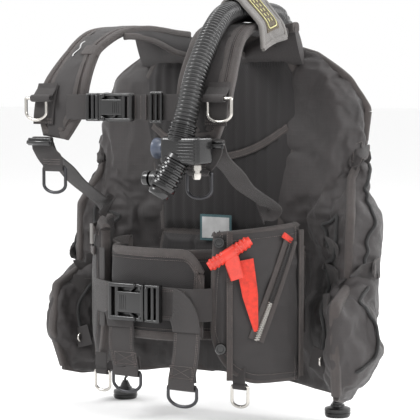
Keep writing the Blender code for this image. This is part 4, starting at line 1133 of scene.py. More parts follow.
def make_wing_trim():
    """Edge tape round the wing, the sewn tabs across it, and its eyelets."""
    for name, side in SIDES:
        v = np.linspace(0.015, 0.985, 150)
        centre, _, half = wing_grid(np.full(150, 0.99 * side), v)
        inner = wing_grid(np.full(150, 0.95 * side), v)[0]
        across = unit(inner - centre)
        tapes = [sweep(centre + across * 0.004, 0.0075, half * 0.5 + 0.0042, across=across, power=3,
                       sides=16)]
        u = np.linspace(0.05, 0.985, 90)
        for edge in (0.992, 0.008):
            rim = wing_grid(u * side, np.full(90, edge))[0]
            tapes.append(sweep(rim, 0.0065, 0.0048, across=(0, 0, 1), power=3, sides=14))
        bound("wing_binding_" + name, tapes)
        shells, rows = [], []
        for route in TAB_ROUTES:
            uv = spline([(*point, 0.0) for point in route], 40)
            path, out = on_wing(uv[:, 0] * side, uv[:, 1], 0.0022)
            path = smooth_rows(path, 6)
            across = np.cross(out, unit(np.gradient(path, axis=0)))
            shells.append(sweep(path, 0.014, 0.0014, across=across, power=5, sides=22))
            for edge in (-0.0115, 0.0115):
                rows.append(stitches(path + across * edge + out * 0.0015, out))
        for height, inner in ((0.80, 0.72), (0.40, 0.70)):
            reach = np.linspace(inner, 0.985, 26)
            ahead, ahead_out = on_wing(reach * side, np.full(26, height), 0.0024)
            behind, behind_out = on_wing(reach[::-1] * side, np.full(26, height + 0.02), 0.0024, rear=True)
            path = smooth_rows(np.vstack([ahead, behind[1:]]), 5)
            out = unit(smooth_rows(np.vstack([ahead_out, behind_out[1:]]), 12))
            across = np.cross(out, unit(np.gradient(path, axis=0)))
            shells.append(sweep(path, 0.0165, 0.0015, across=across, power=5, sides=22))
            for edge in (-0.0140, 0.0140):
                rows.append(stitches(path + across * edge + out * 0.0016, out))
        piece("wing_tabs_" + name, shells, "webbing")
        sewn("wing_tab_stitches_" + name, rows)
        uv = (np.array([0.88]) * side, np.array([0.13]))
        spot, out = on_wing(*uv, 0.0030)
        spot, out = spot[0], out[0]
        flap = sweep(spline([spot + (side * -0.020, 0.002, 0.006), spot,
                             spot + (side * 0.016, 0.006, -0.004)], 24),
                     0.017, 0.0018, across=(0, 0, 1), power=4, sides=22)
        piece("eyelet_tab_" + name, [flap], "ballistic")
        t = np.linspace(0, 2 * pi, 41)[:-1]
        a = unit(np.cross(out, UP))
        b = np.cross(out, a)
        circle = spot + out * 0.0024 + np.cos(t)[:, None] * a * 0.0065 + np.sin(t)[:, None] * b * 0.0065
        piece("eyelet_" + name, [sweep(circle, 0.0021, 0.0016, across=out, sides=12, loop=True)], "steel")


BUNGEE = ((0.64, 0.47), (0.69, 0.53), (0.77, 0.57), (0.83, 0.60), (0.86, 0.56), (0.84, 0.47), (0.66, 0.40),
          (0.60, 0.30), (0.74, 0.34), (0.88, 0.26), (0.86, 0.14))


OUTER_LACES = (  # routes over the wing's rear face, in the same shares
    ((0.93, 0.79), (0.86, 0.70), (0.80, 0.62), (0.84, 0.52), (0.94, 0.43)),
    ((0.94, 0.38), (0.82, 0.30), (0.76, 0.24), (0.78, 0.16), (0.92, 0.10)),
)


def make_bungees():
    """Elastic cord laced over the wing's front between its tabs."""
    for name, side in SIDES:
        uv = spline([(*point, 0.0) for point in BUNGEE], 160)
        path, _ = on_wing(uv[:, 0] * side, uv[:, 1], 0.0032)
        path = smooth_rows(path, 4)
        piece("bungee_cord_" + name, [sweep(path, 0.0026, 0.0026, sides=10, across=(0, 1, 0.2))], "cord",
              stands_for=["bungee_" + name])
        laces = []
        for route in OUTER_LACES:
            uv = spline([(*point, 0.0) for point in route], 90)
            path, _ = on_wing(uv[:, 0] * side, uv[:, 1], 0.0030, rear=True)
            laces.append(sweep(smooth_rows(path, 4), 0.0026, 0.0026, sides=10, across=(0, 1, 0.2)))
        piece("outer_lace_" + name, laces, "cord")


# Back: pads and yoke

def panel(outline_x, low_z, high_z, y, thick, quilt):
    """A padded board in the XZ plane: its half width follows outline_x(share up), its face is crowned and
    its edge pulls in; quilt adds a height over (x, z)."""
    s, t = np.meshgrid(np.linspace(-1, 1, 80), np.linspace(0, 1, 60))
    s = np.sin(s * pi / 2) * 0.35 + s * 0.65
    z = low_z + (high_z - low_z) * (t * 0.7 + 0.3 * (1 - np.cos(t * pi)) / 2)
    x = s * outline_x(t)
    edge = np.minimum(1 - np.abs(s), 2.2 * np.minimum(t, 1 - t))
    rise = np.sqrt(np.clip(edge * 5, 0.02, 1))
    height = thick * rise + quilt(x, z) * np.clip(edge * 6, 0, 1)
    return columns(x, y - height, z), columns(x, y - 0.0008, z)


def border(front, back):
    """Points round a panel's edge with the way in from each, for its binding."""
    n, m = front.shape[:2]
    mid = (front + back) / 2
    edge = np.concatenate([mid[:, 0], mid[-1, 1:], mid[-2::-1, -1], mid[0, -2:0:-1]])
    deep_i, deep_j = max(n // 12, 2), max(m // 12, 2)
    inner = np.concatenate([mid[:, deep_j], mid[-1 - deep_i, 1:], mid[-2::-1, -1 - deep_j],
                            mid[deep_i, -2:0:-1]])
    return edge, unit(inner - edge)


def bind(front, back, wide, thick):
    """A tape folded over a panel's whole edge."""
    edge, inward = border(front, back)
    for _ in range(4):
        edge = (np.roll(edge, 1, axis=0) + 2 * edge + np.roll(edge, -1, axis=0)) / 4
        inward = (np.roll(inward, 1, axis=0) + 2 * inward + np.roll(inward, -1, axis=0)) / 4
    path = edge + inward * wide * 0.35
    return sweep(path, wide / 2, thick / 2, across=inward, power=3.2, sides=16, loop=True)


def make_back():
    s = sizes()
    low, high = BOX["back_pad"]

    def pad_edge(t):
        return np.interp(t, [0, 0.2, 0.45, 0.62, 0.85, 1], [0.115, 0.118, 0.138, 0.150, 0.148, 0.125])

    def ribs(x, z):
        seam = np.exp(-((z - 0.085 - 0.05 * (x / 0.13) ** 2) / 0.005) ** 2)
        return 0.0012 * np.cos(x * 2 * pi / 0.020) - 0.005 * seam

    front, back = panel(pad_edge, low[2], high[2] + 0.010, high[1], high[1] - low[1], quilt=ribs)
    pad = piece("back_cushion", [skin(front, back)], "lining", stands_for=["back_pad"])
    bound("back_cushion_binding", [bind(front, back, s.binding, 0.010)])
    x = np.linspace(-0.128, 0.128, 80)
    arch = columns(x, low[1] - 0.0022, 0.085 + 0.05 * (x / 0.13) ** 2)
    arch[:, 1] += 0.006 * (np.abs(x) / 0.128) ** 4
    bound("back_seam_tape", [sweep(arch, 0.006, 0.0016, across=UP, power=4, sides=12)])
    sewn("back_seam_stitches", [stitches(arch + (0, -0.0017, k), (0, -1, 0)) for k in (-0.004, 0.004)])
    low, high = BOX["lumbar_pad"]

    def lumbar_edge(t):
        return np.interp(t, [0, 0.2, 0.5, 0.8, 1], [0.085, 0.108, 0.120, 0.118, 0.112])

    def channels(x, z):
        upright, level = np.exp(-((np.abs(x) - 0.045) / 0.004) ** 2), np.exp(-((z + 0.11) / 0.004) ** 2)
        return -0.004 * upright - 0.003 * level

    front, back = panel(lumbar_edge, low[2], high[2], high[1], high[1] - low[1], quilt=channels)
    pad = piece("lumbar_cushion", [skin(front, back)], "pad_cloth", stands_for=["lumbar_pad"])
    bound("lumbar_binding", [bind(front, back, s.binding, 0.010)])
    make_yoke()
    make_label()


def make_yoke():
    """Collar between the shoulder straps: a padded roll that dips in the middle and turns forward at its
    ends into the straps."""
    low, high = BOX["yoke_collar"]
    reach = high[0] + 0.004
    share = np.linspace(-1, 1, 120)
    t = np.linspace(0, 1, 46)
    x = share * reach
    top = high[2] + 0.010 - 0.030 * np.exp(-(share / 0.45) ** 2) + 0.004 * np.abs(share) ** 3
    bottom = low[2] - 0.004
    z = bottom + (top[None] - bottom) * t[:, None]
    forward = 0.024 * np.abs(share[None]) ** 3 * t[:, None] ** 2
    roll = 0.010 * np.sin(t[:, None] * pi) ** 0.7 + 0.002
    y = high[1] - 0.004 - forward + 0 * z
    grid_x = np.broadcast_to(x[None], z.shape)
    front = np.stack([grid_x, y - roll - 0.003 * np.abs(np.sin(share[None] * 9)) * t[:, None], z], axis=2)
    back = np.stack([grid_x, y + 0.003, z], axis=2)
    collar = piece("collar_roll", [skin(front, back)], "nylon", stands_for=["yoke_collar"])
    rim = (front[-1] + back[-1]) / 2
    bound("collar_binding", [sweep(rim, 0.008, 0.0066, across=UP, power=3.2, sides=16)])
    for name, side in SIDES:
        line, width, across, normal = strap_frame(150, side)
        part = line[:70]
        inner = part - across[:70] * (width[:70] / 2 - 0.004)[:, None]
        drop = np.linspace(0.0, 1.0, 12)[:, None]
        depth = np.interp(np.arange(70), [0, 20, 45, 69], [0.034, 0.030, 0.016, 0.004])
        sheet = inner[:,
                      None] + np.stack([-side * 0.010 * np.sin(drop * 2) + 0 * depth, 0 * drop + 0 * depth,
                                           -drop * depth], axis=2).transpose(1, 0, 2)
        rows = sheet.transpose(1, 0, 2)
        off = np.array([side * 0.0022, 0, 0])
        piece("strap_facing_" + name, [skin(rows + off, rows - off)], "lining")
        bound("strap_facing_binding_" + name,
              [sweep(rows[-1], 0.0052, 0.0034, across=UP, power=3, sides=14)])


def make_label():
    """A blank care label on its backing, hanging from the lower edge of the back cushion."""
    low, _ = BOX["lumbar_pad"]
    y = low[1] - 0.0060
    for name, grow, finish, step in (("label_backing", 0.004, "teal", 0.0),
                                     ("care_label", 0.0, "label", 0.0010)):
        x, z = np.meshgrid(np.linspace(-0.022 - grow, 0.030 + grow, 24),
                           np.linspace(-0.046 - grow, -0.012 + grow, 16))
        curve = 0.002 * np.cos(x * 60) - step
        front = np.stack([x, y + curve - 0.0004, z], axis=2)
        back = np.stack([x, y + curve + 0.0004, z], axis=2)
        piece(name, [skin(front, back)], finish)


# Hose and inflator

def hose_path():
    """Points of the hose's centre line: over the shoulder, then down in front of the strap."""
    s = sizes()
    rest, top, x = s.strap_thick / 2 + s.hose_radius + 0.0008, s.shoulder_top, s.shoulder_x
    over = [(x - 0.018, -0.014, top + 0.009), (x - 0.016, -0.042, top + rest - 0.002),
            (x - 0.012, -0.095, top + rest), (x - 0.008, 0.52 * s.chest_y, top + rest)]
    drops = ((0.008, 0.001, x - 0.004), (0.030, 0.002, HOSE_X - 0.003), (0.058, 0.004, HOSE_X),
             (0.090, 0.006, HOSE_X), (0.124, 0.010, HOSE_X), (0.150, 0.015, HOSE_X - 0.003))
    return over + [(place, *strap_face(top - drop, rest + extra)[1:]) for drop, extra, place in drops]


def make_hose():
    """Corrugated hose: the radius rises and falls once each ring, with round crests and tight valleys."""
    s = sizes()
    path = spline(hose_path(), 900)
    start = np.abs(path[:, 1] - BOX["hose_upper"][1][1] + 0.010).argmin()
    path = path[max(start - 20, 0):]
    total = np.linalg.norm(np.diff(path, axis=0), axis=1).sum()
    count = int(total / s.ring_pitch * 9)
    path = resample(path, count)
    phase = np.arange(count) / 9.0
    radius = s.hose_radius - 0.0027 * (1 - np.abs(np.sin(phase * pi)) ** 0.55)
    low = BOX["inflator_body"][1][2]
    cuff = path[:, 2] < low - 0.004
    radius = np.where(cuff & (path[:, 1] < -0.25), s.hose_radius - 0.001, radius)
    hose = piece("corrugated_hose", [sweep(path, radius, radius, across=(1, 0, 0), sides=40)], "hose",
                 body=None, stands_for=["hose_upper", "inflator_hose"], sharp=180)
    pivot = np.array(frame_joint("inflator_swing"))
    along = unit(path[np.abs(path - pivot).sum(axis=1).argmin() + 30] - pivot)
    tuple(pivot - along * 0.030)
    tuple(pivot + along * 0.030)
    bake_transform(hose)
    low, high = BOX["hose_elbow"]
    base = np.array([(low[0] + high[0]) / 2, (low[1] + high[1]) / 2 - 0.008, low[2]])
    neck = np.vstack([[base[0], -0.006, low[2]], [base[0], -0.008, low[2] + 0.014],
                      path[0] * 0.5 + base * 0.5 + (0, 0, 0.012),
                      path[4]])
    neck = spline(neck, 40)
    rings = s.hose_radius + np.where(np.arange(40) % 10 < 3, 0.0008, -0.0006)
    piece("elbow_cuff", [sweep(neck, rings, rings, across=(1, 0, 0), sides=36)], "plastic",
          stands_for=["hose_elbow"])


def frame_joint(name):
    for joint in frame["joints"]:
        if joint["name"] == name:
            return joint["pos_m"]
    raise KeyError(name)


def wrap_rows(y):
    """One section of the shoulder band: round the hose, then down past the padded strap's outer edge."""
    s = sizes()
    strap = strap_line(300)
    path = spline(hose_path(), 300)
    point = path[np.abs(path[:, 1] - y).argmin()]
    edge = strap[np.abs(strap[:, 1] - point[1]).argmin()] + (s.strap_width / 2, 0, s.strap_thick / 2)
    share = (y + 0.105) / (-0.178 + 0.105)
    hang = 0.020 + 0.016 * share
    a = np.linspace(radians(-112), radians(58), 26)
    radius = s.hose_radius + 0.0035
    over = point + radius * np.stack([np.sin(a), 0 * a, np.cos(a)], axis=1)
    skirt = spline([over[-1], edge + (0.002, 0, 0.004), edge + (0.008, 0, -0.008),
                    edge + (0.011, 0, -hang)], 26)
    return resample(np.vstack([over, skirt[1:]]), 64)


def make_hose_wrap():
    """Cloth band with bound edges that holds the hose on the shoulder, with a blank gold-edged patch."""
    stations = np.linspace(-0.102, -0.180, 40)
    mid = np.array([wrap_rows(y) for y in stations])
    across = np.gradient(mid, axis=1)
    along = np.gradient(mid, axis=0)
    out = unit(np.cross(along, across))
    if out[20, 20, 2] < 0:
        out = -out
    ripple = creases(mid, 41, 0.030, (0, 1, 0), 1.5)[..., None] * 0.0006
    front, back = mid + out * (0.0022 + ripple), mid - out * 0.0012
    band = piece("hose_band", [skin(front, back)], "sleeve", stands_for=["hose_wrap"])
    edges = [sweep(mid[k] + out[k] * 0.0008, 0.0050, 0.0028, across=along[k], power=3,
                   sides=14) for k in (0, -1)]
    edges += [sweep(mid[:, k] + out[:, k] * 0.0008, 0.0045, 0.0028, across=across[:, k], power=3, sides=14)
              for k in (0, -1)]
    piece("hose_band_binding", edges, "sleeve")
    i0, i1, j0, j1 = 11, 33, 12, 56
    ground = mid[i0:i1, j0:j1] + out[i0:i1, j0:j1] * 0.0034
    piece("shoulder_patch", [skin(ground, ground - out[i0:i1, j0:j1] * 0.0012)], "patch")
    t = np.linspace(0, 2 * pi, 161)[:-1]
    corner = superellipse(160, 7.0)
    rows = np.interp(corner[:, 1], [-1, 1], [i0 + 2.2, i1 - 3.2])
    cols = np.interp(corner[:, 0], [-1, 1], [j0 + 2.2, j1 - 3.2])
    edge = sample_grid(mid + out * 0.0040, rows, cols)
    normal = sample_grid(out, rows, cols)
    piece("patch_border", [sweep(edge, 0.0008, 0.0006, normal=normal, sides=8, loop=True)], "gold")
    marks = []
    for k in range(7):
        col = np.linspace(j0 + 6.5 + k * 4.6, j0 + 9.0 + k * 4.6, 6)
        for lift in (0.38, 0.62):
            row = np.full(6, i0 + (i1 - i0) * lift)
            marks.append(sweep(sample_grid(mid + out * 0.0040, row, col), 0.0010, 0.0005,
                               normal=sample_grid(out, row, col), sides=8))
    piece("patch_dashes", marks, "gold")


def sample_grid(grid, rows, cols):
    """Values of a grid of points at fractional rows and columns."""
    i, j = np.floor(rows).astype(int), np.floor(cols).astype(int)
    i, j = np.minimum(i, grid.shape[0] - 2), np.minimum(j, grid.shape[1] - 2)
    a, b = (rows - i)[:, None], (cols - j)[:, None]
    return (grid[i, j] * (1 - a) * (1 - b) + grid[i + 1, j] * a * (1 - b) + grid[i, j + 1] * (1 - a) * b
            + grid[i + 1, j + 1] * a * b)


def make_inflator():
    """Valve block with its cuff, ribbed grip, buttons, mouthpiece and the steel nipple below."""
    path = spline(hose_path(), 400)
    end, before = path[-1], path[-8]
    along = unit(end - before)
    low, high = BOX["inflator_body"]
    right, block_top, block_low = high[0], end[2] - 0.014, end[2] - 0.054
    left = right - 0.068
    block_front, block_back = middle("hose_nipple")[1] + np.array([-0.019, 0.019])
    shells = [round_box((left, block_front, block_low), (right, block_back, block_top), 0.006, 14)]
    for k in range(7):
        z = block_low + 0.006 + k * 0.0045
        shells.append(round_box((left + 0.030, block_front - 0.0012, z),
                                (right - 0.008, block_front + 0.002, z + 0.0018),
                                0.0008, 6))
    shells.append(round_box((right - 0.008, block_front - 0.002, block_low + 0.001),
                            (right + 0.0010, block_back - 0.006, block_top - 0.001), 0.003))
    shells.append(round_box((left - 0.001, block_front + 0.004, block_low + 0.004),
                            (left + 0.010, block_back - 0.004, block_top - 0.004), 0.004))
    cuff_end = end + along * 0.034
    rings = np.tile([0.0195, 0.0195, 0.0178, 0.0178], 5)
    stations = np.sort(np.concatenate([np.linspace(0, 0.72, 10), np.linspace(0.05, 0.77, 10)]))
    shells.append(turned(end - along * 0.003, cuff_end, rings, stations))
    grip_top = np.array([end[0] - 0.004, (block_front + block_back) / 2 - 0.004, block_low + 0.010])
    grip_end = np.array([end[0] - 0.022, (block_front + block_back) / 2 - 0.022, block_low - 0.034])
    rib = np.linspace(0, 1, 85)
    radii = 0.0180 + 0.0019 * np.clip(np.sin(rib * 2 * pi * 7) * 2.5, -1, 1) * (rib > 0.12)
    shells.append(turned(grip_top, grip_end, radii, rib))
    axis = unit(grip_end - grip_top)
    shells.append(turned(grip_end - axis * 0.004, grip_end + axis * 0.0002, [0.0198, 0.0198, 0.0186]))
    piece("valve_block", shells, "gloss", "inflator", ["inflator_body"])
    low, high = BOX["deflate_button"]
    face = grip_end + axis * 0.0046
    piece("deflate_cap",
          [turned(face, face + axis * 0.0080, [0.0156, 0.0158, 0.0152, 0.0134, 0.0112, 0.0104, 0.0001],
                                 [0, 0.3, 0.7, 0.95, 1.0, 0.9, 0.9])], "gloss",
                                 "deflate_button_body",
          ["deflate_button"])
    low, high = BOX["inflate_button"]
    y, z = (low[1] + high[1]) / 2, (low[2] + high[2]) / 2
    piece("inflate_cap",
          [turned((high[0], y, z), (low[0], y, z), [0.0108, 0.0110, 0.0104, 0.0090, 0.0085, 0.0001],
                                 [0, 0.7, 0.92, 1.0, 0.9, 0.9])], "gloss",
                                 "inflate_button_body",
          ["inflate_button"])
    shells = [turned((high[0] + 0.0150, y, z), (high[0] + 0.0042, y, z), [0.0112, 0.0114, 0.0110])]
    piece("inflate_housing", shells, "plastic", "inflator")
    low, high = BOX["mouthpiece"]
    y, z = (low[1] + high[1]) / 2, (low[2] + high[2]) / 2
    bore = [0.0120, 0.0118, 0.0128, 0.0146, 0.0152, 0.0146, 0.0100, 0.0086, 0.0086, 0.0001]
    where = [0, 0.35, 0.50, 0.70, 0.90, 1.0, 1.0, 0.92, 0.40, 0.40]
    piece("mouth_ring", [turned((high[0], y, z), (low[0], y, z), bore, where)], "silicone",
          "inflator",
          ["mouthpiece"])
    low, high = BOX["hose_nipple"]
    x, y = (low[0] + high[0]) / 2, (low[1] + high[1]) / 2
    steps = [0.0065, 0.0065, 0.0044, 0.0044, 0.0062, 0.0062, 0.0050, 0.0001]
    piece("nipple_stem",
          [turned((x, y, high[2]), (x, y, low[2]), steps, [0, 0.35, 0.36, 0.55, 0.56, 0.85, 1.0, 1.0])],
          "steel", "inflator", ["hose_nipple"])


# Waist: flaps and pockets

def arc_panel(angle_edges, offset, bottom, top, thick, seed, puff, rows=50, wrinkle=0.0006):
    """A padded panel on the waist oval: angle across it, bottom(angle) to top(angle) up it. Its cloth is
    crowned by puff and pulls in to a thin edge."""
    s, t = np.meshgrid(np.linspace(0, 1, 110), np.linspace(0, 1, rows))
    s = s * 0.7 + 0.3 * (1 - np.cos(s * pi)) / 2
    t = t * 0.7 + 0.3 * (1 - np.cos(t * pi)) / 2
    angle = angle_edges[0] + (angle_edges[1] - angle_edges[0]) * s
    low, high = bottom(angle), top(angle)
    z = low + (high - low) * t
    base = np.concatenate([waist(angle, offset(angle)), z[..., None]], axis=-1)
    out = waist_normal(angle)
    edge = np.minimum(np.minimum(s, 1 - s) * 3.0, np.minimum(t, 1 - t) * 2.2)
    rise = np.sqrt(np.clip(edge * 4.5, 0.0, 1))
    bulk = (thick / 2) * (0.42 + 0.58 * rise) + puff * np.clip(edge * 1.6, 0, 1)
    ripple = creases(base, seed, 0.055, (0, 0, 1), 1.8) * wrinkle * np.clip(edge * 5, 0, 1)
    front = base + out * (bulk + ripple)[..., None]
    back = base - out * ((thick / 2) * (0.42 + 0.58 * rise))[..., None]
    return front, back


def belt_offset(under, angle, pocket_front):
    """Middle of a flap from the oval: outside at the front, then smoothly in below its pocket."""
    near, deep = -0.003 - 0.003 - under, -0.026 - 0.0012 - 0.003
    share = np.clip((np.abs(angle) - waist_angle(pocket_front) + radians(17)) / radians(13), 0, 1)
    return near + (deep - near) * share * share * (3 - 2 * share)


def make_flaps():
    """The two cummerbund flaps, the right one lapped over the left."""
    s = sizes()
    flap = waist_angle(FLAP_END)
    left_front, right_front = POCKET_FRONTS

    def flap_top(angle):
        return FLAP_TOP - 0.034 * np.clip(1 - (flap - angle) / radians(9), 0, 1) ** 2

    def right_offset(angle):
        return np.where(angle < 0, belt_offset(0.0, angle, right_front), -0.006)

    jobs = (("right", (-radians(92), flap), right_offset, flap_top, "lining"),
            ("left", (radians(-9), radians(92)), lambda a: belt_offset(0.0076, a, left_front),
             lambda a: FLAP_TOP - 0.002 + 0 * a, "ballistic"))
    for name, edges, offset, flap_edge, cloth in jobs:
        front, back = arc_panel(edges, offset, lambda a: FLAP_BOTTOM + 0 * a, flap_edge, FLAP_THICK,
                                seed=11, puff=0.0004)
        made = piece("flap_" + name, [skin(front, back)], cloth,
                     stands_for=["cummerbund_" + name])
        bound("flap_binding_" + name, [bind(front, back, s.binding + 0.003, 0.0068)])
        edge, inward = border(front, back)
        out = waist_normal(np.arctan2(edge[:, 0] / s.waist_half, -(edge[:, 1] - s.waist_y) / s.waist_depth))
        rows = [stitches(edge + inward * deep + out * 0.0040, out) for deep in (0.0105, 0.0150)]
        sewn("flap_stitching_" + name, rows)
    angle = np.full(40, -waist_angle(0.112))
    z = np.linspace(-0.055, -0.178, 40)
    tape = np.concatenate([waist(angle, -0.0010), z[:, None]], axis=1)
    piece("flap_tape", [sweep(tape, 0.0070, 0.0011, across=(0.9, -0.3, 0), power=5, sides=18)], "webbing")


def pocket_bounds(front):
    """Where a pocket begins and ends, then its bottom and top edges as functions of the angle."""
    first, last, arc = waist_angle(front), radians(76), radians(22)

    def bottom(angle):
        share = np.clip(1 - (np.abs(angle) - first) / arc, 0, 1)
        return POCKET_BOTTOM + 0.090 * (1 - np.sqrt(1 - share**2))

    def top(angle):
        return POCKET_TOP - 0.012 + 0.012 * (np.abs(angle) - first) / (last - first)

    return first, last, bottom, top


def make_pockets():
    s = sizes()
    for (name, side), front_x in zip(SIDES, POCKET_FRONTS):
        first, last, bottom, top = pocket_bounds(front_x)
        edges = (first, last) if side > 0 else (-last, -first)
        front, back = arc_panel(edges, lambda a: -0.013 + 0 * a, bottom, top, 0.024, rows=80,
                                puff=0.0035, wrinkle=0.0016, seed=23 + side)
        made = piece("pocket_" + name, [skin(front, back)], "ballistic",
                     stands_for=["weight_pocket_" + name])
        bound("pocket_binding_" + name, [bind(front, back, s.binding + 0.002, 0.016)])
        edge, inward = border(front, back)
        out = waist_normal(np.arctan2(edge[:, 0] / s.waist_half, -(edge[:, 1] - s.waist_y) / s.waist_depth))
        rows = [stitches(edge + inward * 0.0125 + out * 0.0118, out)]
        sewn("pocket_stitching_" + name, rows)
        x, y, _ = middle("pocket_d_ring_" + name)
        z = BOX["pocket_d_ring_" + name][1][2] - WIRE
        t = np.linspace(-0.35 * pi, 1.35 * pi, 24)
        loop = columns(x, y - 0.0042 * np.cos(t), z - 0.0042 * np.sin(t))
        lead = spline([(x, y - 0.003, z + 0.030), (x, y - 0.0042, z + 0.010)], 10)
        lead[:, 1] = np.minimum(lead[:, 1], y - 0.002)
        web = flat_web(resample(np.vstack([lead, loop]), 50), 0.022, (1, 0, 0))
        piece("pocket_loop_" + name, [web], "webbing")
    make_pocket_details()


def on_pocket(angle, z, lift):
    """Points lift above a pocket's face, with the normals there."""
    angle, z = np.asarray(angle, float), np.asarray(z, float)
    return np.concatenate([waist(angle, 0.0035 + lift), z[..., None]], axis=-1), waist_normal(angle)


def make_pocket_details():
    """Snaps, the rip strip's coil, the red tongue under the handle and the right pocket's opening."""
    shells = []
    for x, z in ((0.108, -0.036), (0.110, -0.196)):
        point, out = on_pocket(np.array([waist_angle(x)]), np.array([z]), 0.0)
        point, out = point[0], out[0]
        shells.append(turned(point - out * 0.001, point + out * 0.0032,
                             [0.0085, 0.0085, 0.0078, 0.0052, 0.0046, 0.0034, 0.0001],
                             [0, 0.6, 1.0, 1.0, 0.7, 0.7, 0.75]))
    piece("pocket_snaps", shells, "gloss")
    t = np.linspace(0, 1, 120)
    angle = waist_angle(0.181) + (waist_angle(0.150) - waist_angle(0.181)) * t
    z = -0.034 - 0.150 * t
    path, out = on_pocket(angle, z, 0.0012)
    across = unit(np.cross(out, unit(np.gradient(path, axis=0))))
    piece("rip_strip_tape", [sweep(path, 0.0125, 0.0012, across=across, power=5, sides=18)], "tape")
    turns = 46
    theta = np.linspace(0, 2 * pi * turns, turns * 14)
    where = np.linspace(0, len(path) - 1, len(theta))
    spine, up, side = (np.stack([np.interp(where, range(len(path)), v[:, i]) for i in range(3)], axis=1)
                       for v in (path, out, across))
    coil = spine + up * (0.0026 + 0.0018 * np.cos(theta))[:, None] + side * (0.0042 * np.sin(theta))[:, None]
    piece("rip_strip_coil", [sweep(coil[:400], 0.0007, 0.0007, across=up[:400], sides=6)], "plastic")
    piece("rip_strip_coil_bright", [sweep(coil[400:], 0.0007, 0.0007, across=up[400:], sides=6)], "steel")
    t = np.linspace(0, 1, 60)
    angle = waist_angle(0.137) + (waist_angle(0.150) - waist_angle(0.137)) * t
    z = -0.062 - 0.108 * t
    path, out = on_pocket(angle, z, 0.0045 - 0.003 * t)
    across = unit(np.cross(out, unit(np.gradient(path, axis=0))))
    width = np.interp(t, [0, 0.5, 1], [0.0140, 0.0120, 0.0035])
    piece("red_tongue", [sweep(path, width, 0.0014, across=across, power=5, sides=20)], "red_web")
    tag, out = on_pocket(waist_angle(0.178) + np.linspace(-0.04, 0.04, 12),
                         np.linspace(-0.026, -0.036, 12), 0.002)
    piece("red_tag", [sweep(tag, 0.0045, 0.0016, across=UP, power=4, sides=14)], "red_web")
    z = np.linspace(-0.020, -0.244, 70)
    for place_x, thick in ((0.121, 0.0011), (0.188, 0.0014)):
        path, out = on_pocket(np.full(70, waist_angle(place_x)), z, 0.0002)
        across = unit(np.cross(out, (0, 0, 1.0)))
        bound(f"pocket_tape_{int(place_x * 1000)}",
              [sweep(path, 0.0048, thick, across=across, power=4, sides=14)])
        sewn(f"pocket_tape_stitches_{int(place_x * 1000)}",
              [stitches(path + across * k + out * 0.0014, out) for k in (-0.0034, 0.0034)])
    for seam in (0.35, 0.62):
        first, last, bottom, top = pocket_bounds(0.128)
        angle = -(first + (last - first) * np.linspace(0.05, 0.95, 60))
        z = -0.030 - (seam - 0.35) * 0.12 + 0 * angle
        path, out = on_pocket(angle, z, 0.0008)
        bound(f"right_pocket_seam_{int(seam * 100)}",
              [sweep(path, 0.0065, 0.0016, across=UP, power=4, sides=14)])
    z = np.linspace(-0.020, -0.052, 20)
    path, out = on_pocket(np.full(20, -waist_angle(0.140)), z, 0.003)
    piece("grey_loop", [sweep(path, 0.0060, 0.0014, across=(0.8, -0.5, 0), power=5, sides=16)], "sleeve")


def make_handle():
    """Red pull: a T of ribbed rubber with round ends, riding on its own slide."""
    angle = waist_angle(HANDLE_X)
    centre = np.array([*waist(np.array(angle), 0.014), -0.0515])
    along = unit(np.array([0.85 * cos(angle), 0.85 * sin(angle), 0.53]))
    share = np.linspace(0, 1, 160)
    radii = 0.0088 * (1 - np.clip(np.abs(share - 0.5) * 2 - 0.80, 0, 1) ** 2 * 16) ** 0.5
    ribs = 0.0009 * np.cos(share * 2 * pi * 11) * (np.abs(share - 0.5) > 0.13)
    radii = np.clip(radii + ribs, 0.0004, None)
    shells = [turned(centre - along * 0.037, centre + along * 0.037, radii, share)]
    end = centre + (0.012 * cos(angle), 0.012 * sin(angle), -0.038)
    t = np.linspace(0, 1, 40)
    neck = centre + (end - centre) * t[:, None]
    shells.append(sweep(neck, 0.0125 - 0.002 * t, 0.0062 - 0.002 * t, across=along, power=3, sides=20))
    piece("red_t_handle", shells, "red", "ripcord_body", ["ripcord_handle"])


# Dump valves, their cords and knobs

